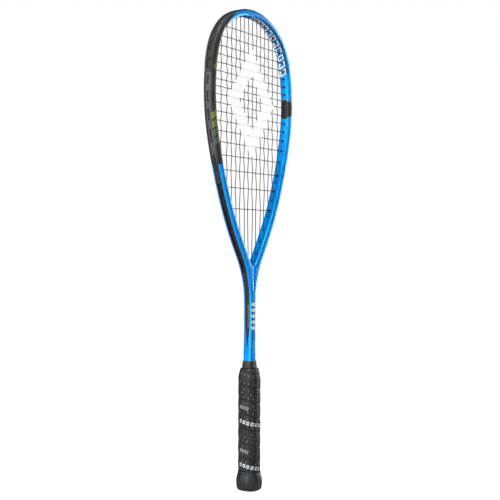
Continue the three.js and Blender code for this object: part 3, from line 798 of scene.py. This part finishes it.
def tube(points, radius, sides=12):
    """Vertices and faces of a closed tube along the points."""
    path = np.asarray(points, float)
    along = np.gradient(path, axis=0)
    along /= np.linalg.norm(along, axis=1)[:, None]
    across = np.cross(along[0], (0.3, 0.2, 0.9))
    vertices = []
    for point, heading in zip(path, along):
        across = unit(across - np.dot(across, heading) * heading)
        up = np.cross(heading, across)
        for k in range(sides):
            a = 2 * math.pi * k / sides
            vertices.append(point + radius * (math.cos(a) * across + math.sin(a) * up))
    return vertices, closed_faces(len(path), sides)


def joined(parts):
    """One vertex and face list from several."""
    vertices, faces = [], []
    for part_vertices, part_faces in parts:
        offset = len(vertices)
        vertices.extend(part_vertices)
        faces.extend(tuple(i + offset for i in face) for face in part_faces)
    return vertices, faces


def lathe(profile, start, axis, sides=20):
    """A closed turned solid: the profile holds (distance along the axis, radius) pairs."""
    axis = unit(np.asarray(axis, float))
    first = unit(np.cross(axis, (0.0, 1.0, 0.0)))
    second = np.cross(axis, first)
    vertices = []
    for distance, radius in profile:
        for k in range(sides):
            a = 2 * math.pi * k / sides
            spoke = math.cos(a) * first + math.sin(a) * second
            vertices.append(np.asarray(start, float) + distance * axis + radius * spoke)
    return vertices, closed_faces(len(profile), sides)


def at3(point, y=0.0):
    return np.array([point[0], y, point[1]])


# ---------------------------------------------------------------- frame
def beam_share(z):
    """How deep the beam is at a height, as a share of the head's."""
    shaft = SHAFT_DEPTH / BEAM_DEPTH
    return shaft + (1 - shaft) * smoothstep(z, *DEPTH_CHANGE)


ARC = [math.radians(a) for a in range(0, 91, 10)]
VALLEY_LENGTH = 34              # the crease where the arms merge fades out over this length


def channel_half(place):
    share = smoothstep(abs(place), STRIP_END, STRIP_END + 2)
    return CHANNEL_HALF + share * (THROAT_CHANNEL_HALF - CHANNEL_HALF)


def beam_profile(width, channel, edge, valley):
    """A quarter of the beam's section: (depth below the outer side, half thickness) pairs."""
    half = BEAM_DEPTH / 2
    flat = half - BEAM_ROUND
    lip = 0.25 * channel / CHANNEL_DEPTH
    points = [(channel, edge * share) for share in (0, 0.3, 0.6, 0.87)]
    points += [(0.96 * channel, 0.96 * edge), (0.85 * channel, edge), (0.4 * channel, edge)]
    points += [(lip, edge + 0.03), (0.3 * lip, edge + 0.1)]
    points += [(BEAM_ROUND * (1 - math.cos(a)), flat + BEAM_ROUND * math.sin(a)) for a in ARC]
    face = width - 2 * BEAM_ROUND
    points += [(BEAM_ROUND + face * share, half) for share in (0.2, 0.4, 0.6, 0.8)]
    for a in ARC:
        drop = BEAM_ROUND * valley * (1 - math.cos(a))
        points.append((width - BEAM_ROUND * (1 - math.sin(a)), half - drop))
    wall_top = half - BEAM_ROUND * valley
    points += [(width + 0.2 * (1 - share**2), wall_top * share) for share in (0.75, 0.5, 0.25, 0)]
    return points


WALL_POINTS = 4                 # the last points of the profile, which make the inner wall


def beam_stations():
    """Places along the outer line, with the beam's width there and how much of a wall it has."""
    low, high = 0.0, outer.reach
    for _ in range(40):
        middle = (low + high) / 2
        wall, _ = inner.hit(outer.at(middle), -outer.normal(middle))
        meets = wall is not None and wall[0] > 1e-9
        low, high = (middle, high) if meets else (low, middle)
    crotch = low
    head = np.linspace(0, crotch, 330)
    shaft = np.concatenate([
        crotch + np.linspace(0, 60, 50)[1:],
        np.linspace(crotch + 60, outer.reach, 70)[1:],
    ])
    stations = []
    for place in head:
        point = outer.at(place)
        wall, _ = inner.hit(point, -outer.normal(place))
        stations.append((place, np.linalg.norm(wall - point), 1.0))
    for place in shaft:
        point = outer.at(place)
        valley = 1 - smoothstep(place - crotch, 0, VALLEY_LENGTH)
        stations.append((place, point[0] / outer.normal(place)[0], float(valley)))
    return stations, len(head) - 1


def frame_shell():
    """The frame without its holes. One quarter is worked out and mirrored in X and in Y."""
    stations, crotch = beam_stations()
    rows, from_outside, from_inside = [], [], []
    for place, width, valley in stations:
        point, normal = outer.at(place), outer.normal(place)
        depth = beam_share(point[1])
        channel = CHANNEL_DEPTH * float(smoothstep(point[1], *CHANNEL_FADE))
        profile = np.array(beam_profile(width, channel, channel_half(place), valley))
        flat = point - profile[:, :1] * normal
        rows.append(np.column_stack([flat[:, 0], profile[:, 1] * depth, flat[:, 1]]))
        way = np.concatenate([[0], np.cumsum(np.linalg.norm(np.diff(profile, axis=0), axis=1))])
        from_outside.append(np.column_stack([np.full(len(way), place), way]))
        from_inside.append(np.column_stack([np.full(len(way), place), way[-1] - way]))
    columns = len(rows[0])
    rows[crotch][-WALL_POINTS - 1:, 0] = 0
    for row in rows[crotch + 1:]:
        row[-WALL_POINTS - 1:, 0] = 0
    quarter = np.concatenate(rows)
    quarter[:columns, 0] = 0
    faces = []
    for face in grid_faces(len(rows), columns):
        row, column = divmod(face[0], columns)
        in_wall = column >= columns - 1 - WALL_POINTS
        if not (in_wall and row >= crotch):
            faces.append(face)
    outside_uv, inside_uv = np.concatenate(from_outside), np.concatenate(from_inside)
    vertices, all_faces, uv_outside, uv_inside = [], [], [], []
    for x_side in (1, -1):
        for y_side in (1, -1):
            offset = len(vertices)
            vertices.extend(quarter * (x_side, y_side, 1))
            for face in faces:
                turned = face if x_side * y_side > 0 else face[::-1]
                all_faces.append(tuple(i + offset for i in turned))
                uv_outside.extend(outside_uv[i] * (x_side, y_side) for i in turned)
                uv_inside.extend(inside_uv[i] * (x_side, y_side) for i in turned)
    return vertices, all_faces, uv_outside, uv_inside


def frame_piece(holes, material):
    vertices, faces, uv_outside, uv_inside = frame_shell()
    layers = {"from_outside": uv_outside, "from_inside": uv_inside}
    item = new_piece("frame_moulding", vertices, faces, material, 50, layers)
    close_foot(item.data)
    drills = [rod(hole.inwards(4), hole.outwards(3), FRAME_HOLE_R) for hole in holes]
    cutter = new_piece("cutter", *joined(drills), None)
    cut_or_join(item, [cutter], "DIFFERENCE")
    smooth(item.data, 50)
    return item


def close_foot(mesh):
    bm = bmesh.new()
    bm.from_mesh(mesh)
    bmesh.ops.holes_fill(bm, edges=[e for e in bm.edges if e.is_boundary], sides=0)
    bmesh.ops.recalc_face_normals(bm, faces=bm.faces)
    bm.to_mesh(mesh)
    bm.free()


def rod(start, stop, radius, sides=20):
    length = np.linalg.norm(stop - start)
    return lathe([(0, radius), (length, radius)], at3(start), at3(stop - start), sides)


# ---------------------------------------------------------------- grommets and bumper
def barrel(hole):
    """A grommet's barrel, with a rounded mouth on the inside of the head."""
    start = hole.inwards(BARREL_STICK_OUT)
    length = np.linalg.norm(hole.outwards(-1.3) - start)
    profile = [(0, BARREL_R - 0.35), (0.1, BARREL_R - 0.12), (0.35, BARREL_R), (length, BARREL_R)]
    return lathe(profile, at3(start), at3(hole.direction))


def bore(hole):
    return rod(hole.inwards(3), hole.outwards(3), BARREL_BORE, 14)


def slots_between(holes_and_lanes):
    """(start, stop, lane) of each stretch where a string runs along the outside."""
    return [(min(a.place, b.place), max(a.place, b.place), lane) for a, b, lane in holes_and_lanes]


def slot_depth(place, y, slots, half_width):
    """How deep in a slot a point is: 1 on its floor, 0 outside it, on a grid of places and y."""
    share = np.zeros(np.broadcast(place, y).shape)
    for start, stop, lane in slots:
        beyond = np.maximum(np.maximum(start - place, place - stop), 0)
        distance = np.hypot(beyond, y - lane)
        share = np.maximum(share, 1 - smoothstep(distance, half_width - 0.25, half_width + 0.25))
    return share


def strip_body(start, stop, half_width, top, low, step=0.55, columns=35):
    """A strip along the channel whose outer surface is top(place, y) and whose underside is low."""
    rows = max(int((stop - start) / step), 4)
    places = np.linspace(start, stop, rows)
    ys = half_width * np.sin(np.linspace(-math.pi / 2, math.pi / 2, columns))
    place_grid, y_grid = np.meshgrid(places, ys, indexing="ij")
    heights = top(place_grid, y_grid)
    vertices = []
    for i, place in enumerate(places):
        point, normal = outer.at(place), outer.normal(place)
        ring = [at3(point + heights[i, j] * normal, ys[j]) for j in range(columns)]
        under = low(ys)
        ring += [at3(point + under[j] * normal, ys[j]) for j in reversed(range(columns))]
        vertices.extend(ring)
    return vertices, closed_faces(rows, 2 * columns)


def with_barrels(name, body, holes, material, sharp=35):
    item = new_piece(name, *body, material)
    barrels = [new_piece("barrels", *joined([barrel(hole) for hole in holes]), None)]
    bores = [new_piece("bores", *joined([bore(hole) for hole in holes]), None)]
    cut_or_join(item, barrels, "UNION")
    cut_or_join(item, bores, "DIFFERENCE")
    smooth(item.data, sharp)
    mark_depth(item.data)
    return item


def mark_depth(mesh):
    """Gives each vertex its depth below the frame's outer line, in millimetres."""
    depth = []
    for vertex in mesh.vertices:
        place = np.array([vertex.co.x, vertex.co.z]) / MM
        _, i, _ = outer_tree.find((*place, 0))
        depth.append(-np.dot(place - outer.points[i], outer.normals[i]))
    mesh.attributes.new("depth", "FLOAT", "POINT").data.foreach_set("value", depth)


def pairs_on(side):
    """Neighbouring cross holes on one side that a loop of the cross string joins."""
    first = 0 if side == "left" else 1
    holes = [getattr(cross, side) for cross in crosses]
    return [(holes[k], holes[k + 1], PASSING_SIDE) for k in range(first, len(holes) - 1, 2)]


top_holes = [main.top for main in mains]
foot_holes = [main.foot for main in mains]
top_loops = [(top_holes[k], top_holes[k + 1], -PASSING_SIDE) for k in range(0, len(mains) - 1, 2)]

bumper_crosses = crosses[:SIDE_STRIP_TOP_CROSS]
side_crosses = crosses[SIDE_STRIP_TOP_CROSS:SIDE_STRIP_END_CROSS + 1]
BUMPER_REACH = (abs(bumper_crosses[-1].right.place) + abs(side_crosses[0].right.place)) / 2
STRIP_END = abs(mains[-1].foot.place) + 5.7
STRIP_HALF = 4.2
STRIP_FACE = -0.15
STRIP_UNDERSIDE = -2.7
SLOT_FLOOR = -1.75
SLOT_HALF = 1.15
CAP_HALF = 6.8
RAIL_INSIDE = 3.3


def strip_under(ys):
    return np.full(len(ys), STRIP_UNDERSIDE)


def side_strip(side):
    """The grommet strip in one arm: a flat grey strip, with a slot wherever a string runs in it."""
    sign = 1 if side == "right" else -1
    outer_main = mains[-1] if sign > 0 else mains[0]
    holes = [getattr(cross, side) for cross in side_crosses] + [outer_main.foot]
    slots = slots_between(pairs_on(side))
    slots = [(a, b, 0.55 * lane) for a, b, lane in slots]
    start, stop = sorted([sign * (BUMPER_REACH + 0.3), sign * STRIP_END])

    def top(place, y):
        edge = 0.35 * smoothstep(np.abs(y), STRIP_HALF - 0.7, STRIP_HALF)
        deep = slot_depth(place, y, slots, SLOT_HALF)
        dimples = [(hole.place, hole.place, 0.0) for hole in holes]
        deep = np.maximum(deep, slot_depth(place, y, dimples, SLOT_HALF))
        return STRIP_FACE - edge + deep * (SLOT_FLOOR - STRIP_FACE)

    body = strip_body(start, stop, STRIP_HALF, top, strip_under)
    return with_barrels(f"side_grommet_strip_{side}", body, holes, grommet_plastic)


def bumper_rise(place):
    """The rails keep their height almost to the bumper's two ends, and run out there."""
    return BUMPER_RISE - 1.2 * smoothstep(np.abs(place), BUMPER_REACH - 13, BUMPER_REACH)


def bumper_piece():
    """The guard over the top: two rails with a channel between them, and slots for the strings."""
    holes = [hole for cross in bumper_crosses for hole in (cross.left, cross.right)] + top_holes
    slots = slots_between(pairs_on("left") + pairs_on("right") + top_loops)
    dimples = [(hole.place, hole.place, 0.0) for hole in holes]

    def top(place, y):
        reach = np.abs(y)
        rail = smoothstep(reach, RAIL_INSIDE - 0.5, RAIL_INSIDE + 0.5)
        shoulder = np.maximum(reach - 5.0, 0) ** 2 * 0.42
        height = -0.1 + rail * (bumper_rise(place) + 0.1) - shoulder
        ridge = 0.22 * np.exp(-((reach - 4.9) / 0.35) ** 2) * smoothstep(-place, 40, 70)
        deep = np.maximum(
            slot_depth(place, y, slots, 1.2), slot_depth(place, y, dimples, 1.2),
        )
        return np.minimum(height + ridge, height + ridge + deep * (SLOT_FLOOR - height))

    def under(ys):
        reach = np.abs(ys)
        in_channel = reach < STRIP_HALF
        onto_round = np.maximum(reach - (BEAM_DEPTH / 2 - BEAM_ROUND), 0)
        corner = 0.04 + BEAM_ROUND - np.sqrt(np.maximum(BEAM_ROUND**2 - onto_round**2, 0))
        return np.where(in_channel, STRIP_UNDERSIDE, 0.12 - corner)

    body = strip_body(-BUMPER_REACH, BUMPER_REACH, CAP_HALF, top, under, 0.6, 55)
    return with_barrels("head_bumper", body, holes, bumper_plastic)


PLATE_LENGTH = 5.2
PLATE_HALF = 3.0
PLATE_FACE = -1.55


def throat_grommet(name, hole):
    """A single grommet of the throat: a small dished plate on a barrel."""
    half = PLATE_LENGTH / 2

    def top(place, y):
        lengthways = np.maximum(np.abs(place - hole.place) - 1.4, 0)
        sideways = np.maximum(np.abs(y) - PLATE_HALF + 1.2, 0)
        corner = np.hypot(lengthways, sideways)
        return PLATE_FACE - 0.5 * smoothstep(corner, 0.6, 1.3)

    body = strip_body(hole.place - half, hole.place + half, PLATE_HALF, top, strip_under, 0.35, 19)
    return with_barrels(name, body, [hole], throat_plastic)


# ---------------------------------------------------------------- strings
def channel_run(start, stop, y):
    """The way from one hole to another round the outside, keeping to one side of the channel."""
    step = math.copysign(1, stop.place - start.place)
    first = start.place + step * LANE_CHANGE
    last = stop.place - step * LANE_CHANGE
    places = np.linspace(first, last, max(int(abs(last - first) / 2.5), 2))
    return [at3(start.exit), *(at3(outer.at(place, LOOP_OFFSET), y) for place in places), at3(stop.exit)]


def tail(hole, step, y):
    """A string's tied end: a little way along the channel, to its knot."""
    return at3(outer.at(hole.place + step * KNOT_RUN, KNOT_OFFSET), y)


def inner_turn(hole):
    return at3(hole.inwards(BARREL_STICK_OUT + 0.35))


def rounded(points, radius=1.0, sharp=12):
    """The path with each sharp corner replaced by a small curve."""
    path = [np.asarray(p, float) for p in points]
    result = [path[0]]
    for before, here, after in zip(path, path[1:], path[2:]):
        arriving, leaving = here - before, after - here
        a, b = np.linalg.norm(arriving), np.linalg.norm(leaving)
        turn = math.degrees(math.acos(np.clip(np.dot(arriving, leaving) / (a * b), -1, 1)))
        if turn < sharp:
            result.append(here)
            continue
        reach = min(radius, 0.45 * a, 0.45 * b)
        start, stop = here - arriving / a * reach, here + leaving / b * reach
        for t in (0, 0.25, 0.5, 0.75, 1):
            result.append((1 - t) ** 2 * start + 2 * t * (1 - t) * here + t**2 * stop)
    result.append(path[-1])
    return result


def woven(marks, per_cell=7):
    """A string over and under its crossings: the marks are points that it passes, in order."""
    points = []
    for start, stop in zip(marks, marks[1:]):
        for i in range(per_cell):
            t = i / per_cell
            point = (1 - t) * start + t * stop
            point[1] = start[1] + (stop[1] - start[1]) * (1 - math.cos(math.pi * t)) / 2
            points.append(point)
    points.append(marks[-1])
    return points


def main_x_at(main, z):
    bend_z = crosses[main.crossed[-1]].z
    if z >= bend_z:
        return main.x
    foot = main.foot.wall
    return main.x + (foot[0] - main.x) * (bend_z - z) / (bend_z - foot[1])


def crossing_side(cross_number, main_number):
    """+1 where the cross string passes behind the main."""
    return 1 if (cross_number + main_number) % 2 == 0 else -1


def main_string_path():
    path = [tail(mains[-1].foot, 1, -PASSING_SIDE), at3(mains[-1].foot.exit)]
    for turn, number in enumerate(reversed(range(len(mains)))):
        main = mains[number]
        marks = [inner_turn(main.top)]
        for k in main.crossed:
            marks.append(np.array([main.x, -WEAVE * crossing_side(k, number), crosses[k].z]))
        marks.append(inner_turn(main.foot))
        upward = turn % 2 == 0
        strand = woven(marks)
        path += strand[::-1] if upward else strand
        if number == 0:
            break
        following = mains[number - 1]
        ends = (main.top, following.top) if upward else (main.foot, following.foot)
        path += channel_run(*ends, -PASSING_SIDE)
    path += [at3(mains[0].foot.exit), tail(mains[0].foot, -1, -PASSING_SIDE)]
    return path


def cross_string_path():
    path = [tail(crosses[0].right, 1, PASSING_SIDE), at3(crosses[0].right.exit)]
    for k, cross in enumerate(crosses):
        reach = cross.right.wall[0] - BARREL_STICK_OUT
        marks = [inner_turn(cross.left)]
        for number, main in enumerate(mains):
            x = main_x_at(main, cross.z)
            if abs(x) < reach:
                room = reach - abs(x)
                shift = math.copysign(min(0.25 * room, 0.6), x) if room < 5 else 0
                marks.append(np.array([x + shift, WEAVE * crossing_side(k, number), cross.z]))
        marks.append(inner_turn(cross.right))
        leftward = k % 2 == 0
        strand = woven(marks)
        path += strand[::-1] if leftward else strand
        if k + 1 == len(crosses):
            break
        side = "left" if leftward else "right"
        path += channel_run(getattr(cross, side), getattr(crosses[k + 1], side), PASSING_SIDE)
    last = crosses[-1].right
    path += [at3(last.exit), tail(last, -1, PASSING_SIDE)]
    return path


def knot(centre):
    """A small overhand knot: a trefoil wound tight from the same string."""
    points = []
    for i in range(60):
        a = 2 * math.pi * i / 59
        points.append(centre + 0.36 * np.array([
            math.sin(a) + 2 * math.sin(2 * a), -math.sin(3 * a), math.cos(a) - 2 * math.cos(2 * a),
        ]))
    return tube(points, 0.36, 8)


def string_piece(name, path):
    parts = [tube(rounded(path), STRING_R), knot(path[0]), knot(path[-1])]
    return new_piece(name, *joined(parts), string_look_shared, 60)


# ---------------------------------------------------------------- handle
def oval_reach(angle, half_x, half_y, radius):
    """The distance from the axis to a rounded rectangle's outline, in a direction."""
    c, s = abs(math.cos(angle)), abs(math.sin(angle))
    corner_x, corner_y = half_x - radius, half_y - radius
    along_x = half_x / c if c > 1e-9 else math.inf
    along_y = half_y / s if s > 1e-9 else math.inf
    if along_x * s <= corner_y:
        return along_x
    if along_y * c <= corner_x:
        return along_y
    middle = c * corner_x + s * corner_y
    return middle + math.sqrt(max(middle**2 - corner_x**2 - corner_y**2 + radius**2, 0))


def oval_girth(half_x, half_y, radius):
    return 4 * (half_x + half_y - 2 * radius) + 2 * math.pi * radius


GRIP_GIRTH = oval_girth(*GRIP_HALF, GRIP_ROUND)


def oval_loft(levels, half_x, half_y, radius, columns=96):
    """A closed upright solid: levels hold (height, growth of the outline)."""
    vertices = []
    for z, grow in levels:
        for j in range(columns):
            a = 2 * math.pi * j / columns
            reach = oval_reach(a, half_x + grow, half_y + grow, min(radius + grow, half_x + grow - 0.01))
            vertices.append((reach * math.cos(a), reach * math.sin(a), z))
    return vertices, closed_faces(len(levels), columns)


HOLE_STEP = 7.5
HOLE_ROWS = (-5.6, 0.0, 5.6)
HOLE_R = 0.75
HOLE_DEPTH = 0.8


def in_a_hole(run, across):
    """1 in the middle of a perforation of the wrap, 0 away from it."""
    best = 0.0
    for row, centre in enumerate(HOLE_ROWS):
        shift = HOLE_STEP * (0.5 if row % 2 else 0)
        off = (run + shift + HOLE_STEP / 2) % HOLE_STEP - HOLE_STEP / 2
        distance = math.hypot(off, across - centre)
        best = max(best, 1 - float(smoothstep(distance, 0.35 * HOLE_R, HOLE_R)))
    small = abs(run % (3 * GRIP_GIRTH) - 1.5 * GRIP_GIRTH - 0.5) < 10 and abs(across) < 4
    big = -19 < run % (3 * GRIP_GIRTH) - 2.6 * GRIP_GIRTH < 28 and abs(across) < 4
    return 0.0 if small or big else best


LAP_STEP = 0.8
SWELL = 0.45


def wrap_offset(angle, z):
    """How far the wrap's surface stands off its oval, and whether it is in a perforation."""
    strips = (z - GRIP_LOW) / WRAP_PITCH + angle / (2 * math.pi) + WRAP_TURN_SHIFT
    number = math.floor(strips)
    share = strips - number
    run = (angle / (2 * math.pi) - number) * GRIP_GIRTH
    across = (share - 0.5) * WRAP_PITCH
    lap = float(smoothstep(share, 0.0, 0.07)) - 1
    swell = math.sin(math.pi * min(max((share - 0.03) / 0.97, 0), 1)) ** 0.7 - 1
    sag = 0.12 * math.sin(0.37 * run) * math.sin(2 * math.pi * share)
    hole = in_a_hole(run, across)
    return LAP_STEP * lap + SWELL * swell + sag * 0.5 - HOLE_DEPTH * hole, hole


def grip_piece():
    rows, columns = 340, 216
    vertices, holes = [], []
    for i in range(rows):
        z = GRIP_LOW + (GRIP_HIGH - GRIP_LOW) * i / (rows - 1)
        neck = NECK_DEPTH * float(smoothstep(z, *NECK))
        for j in range(columns):
            a = -math.pi + 2 * math.pi * j / columns
            offset, hole = wrap_offset(a, z)
            edge = 1 - float(smoothstep(min(z - GRIP_LOW, GRIP_HIGH - z), 0, 0.8))
            reach = oval_reach(a, *GRIP_HALF, GRIP_ROUND) - neck + offset - 0.6 * edge
            vertices.append((reach * math.cos(a), reach * math.sin(a), z))
            holes.append(hole)
    item = new_piece("handle_wrap", vertices, closed_faces(rows, columns), grip_look(), 60)
    layer = item.data.attributes.new("hole", "FLOAT", "POINT")
    layer.data.foreach_set("value", holes)
    return item


def collar_piece():
    levels = [
        (COLLAR_LOW, 1.0), (COLLAR_LOW + 0.3, 1.35), (COLLAR_LOW + 1.2, 1.4), (COLLAR_LOW + 3.2, 1.2),
        (COLLAR_LOW + 3.5, 1.0), (COLLAR_LOW + 3.9, 1.0), (COLLAR_LOW + 4.2, 1.15),
        (COLLAR_LOW + 6.2, 0.9), (COLLAR_LOW + 6.5, 0.7), (COLLAR_LOW + 6.9, 0.7), (COLLAR_LOW + 7.2, 0.8),
        (COLLAR_HIGH - 0.7, 0.45), (COLLAR_HIGH - 0.2, 0.25), (COLLAR_HIGH, -0.1),
    ]
    solid = oval_loft(levels, SHAFT_HALF_WIDTH + 0.8, SHAFT_DEPTH / 2 + 0.8, 5.4)
    rubber = plastic("collar_rubber", (0.007, 0.007, 0.008), (0.016, 0.016, 0.017), 0.5)
    return new_piece("rubber_collar", *solid, rubber)


def butt_piece():
    """The butt cap: a smooth flare with a fine groove above it, and a plain recessed disc underneath."""
    levels = [(0.9, -9.0), (0.9, -3.6), (0.75, -3.35), (0.0, -3.2)]
    corner = 5.0
    for i in range(0, 11):
        a = math.radians(9 * i)
        levels.append((corner * (1 - math.cos(a)), BUTT_FLARE - 0.6 - corner * (1 - math.sin(a))))
    levels += [(9, BUTT_FLARE - 0.1), (11, BUTT_FLARE), (BUTT_WIDEST_Z, BUTT_FLARE)]
    for z, share in ((16.5, 0.9), (19, 0.72), (21.5, 0.45), (24, 0.2)):
        levels.append((z, share * BUTT_FLARE))
    levels += [(24.4, 0.0), (24.8, 0.0), (25.2, 0.4), (26.6, 0.3)]
    levels += [(GRIP_LOW - 0.6, 0.15), (GRIP_LOW - 0.3, -0.3)]
    solid = oval_loft(levels, *GRIP_HALF, GRIP_ROUND, 120)
    moulded = plastic("butt_plastic", (0.006, 0.006, 0.007), (0.012, 0.012, 0.013), 0.45)
    return new_piece("butt_cup", *solid, moulded)


# ---------------------------------------------------------------- floor
FLOOR_GLOW = 0.97


def floor():
    """Plain and pale. Its glow is for the camera only, and gives the racket no light."""
    size = 12
    mesh = bpy.data.meshes.new("floor")
    corners = [(-size, -size, 0), (size, -size, 0), (size, size, 0), (-size, size, 0)]
    mesh.from_pydata(corners, [], [(0, 1, 2, 3)])
    item = bpy.data.objects.new("floor", mesh)
    bpy.context.scene.collection.objects.link(item)
    g = Graph("floor_paint")
    colour = g.mix(g.noise(3, detail=2), (0.50, 0.50, 0.50), (0.54, 0.54, 0.54))
    g.shader.inputs["Emission Color"].default_value = (1, 1, 1, 1)
    seen = g.tree.nodes.new("ShaderNodeLightPath").outputs["Is Camera Ray"]
    g.link(g.times(seen, FLOOR_GLOW), g.shader.inputs["Emission Strength"])
    mesh.materials.append(g.finish(colour, 0.9))


# ---------------------------------------------------------------- assembly
def place(piece, slot, *nodes):
    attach(piece, "root")
    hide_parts(*nodes)


camera()
studio()
floor()

# these two plastics get painted shade in their slots and on their barrels
grommet_plastic = plastic(
    "grommet_plastic", (0.036, 0.037, 0.042), (0.055, 0.056, 0.062), 0.5, shade_in_recesses=True,
)
bumper_plastic = plastic(
    "bumper_plastic", (0.008, 0.008, 0.009), (0.018, 0.018, 0.020), 0.48, speck=0.06, shade_in_recesses=True,
)
throat_plastic = plastic("throat_plastic", (0.005, 0.004, 0.004), (0.010, 0.008, 0.008), 0.45)
string_look_shared = string_look()

all_holes = [hole for cross in crosses for hole in (cross.left, cross.right)] + top_holes + foot_holes
place(frame_piece(all_holes, frame_paint()), "painted_frame", "frame")
place(bumper_piece(), "bumper", "bumper_guard")
for side_name in ("left", "right"):
    place(side_strip(side_name), "grommet", f"grommet_strip_{side_name}")
    sign = 1 if side_name == "right" else -1
    holes = [getattr(cross, side_name) for cross in crosses[SIDE_STRIP_END_CROSS + 1:]]
    holes += [main.foot for main in mains[1:-1] if main.x * sign > 0]
    holes.sort(key=lambda hole: -hole.wall[1])
    for number, hole in enumerate(holes, 1):
        piece = throat_grommet(f"throat_eyelet_{side_name}_{number}", hole)
        place(piece, "throat_grommet", f"throat_grommet_{side_name}_{number}")

place(string_piece("mains", main_string_path()), "string", "main_string")
place(string_piece("crosses", cross_string_path()), "string", "cross_string")
place(grip_piece(), "grip", "grip_wrap")
place(collar_piece(), "collar", "grip_collar")
place(butt_piece(), "butt_cap", "butt_cap")

hidden_looks = {"handle_core": foam_look(), "butt_tack": steel_look()}
for node, item in frame["nodes"].items():
    for start, look in hidden_looks.items():
        if node.startswith(start):
            item.data.materials.clear()
            item.data.materials.append(look)
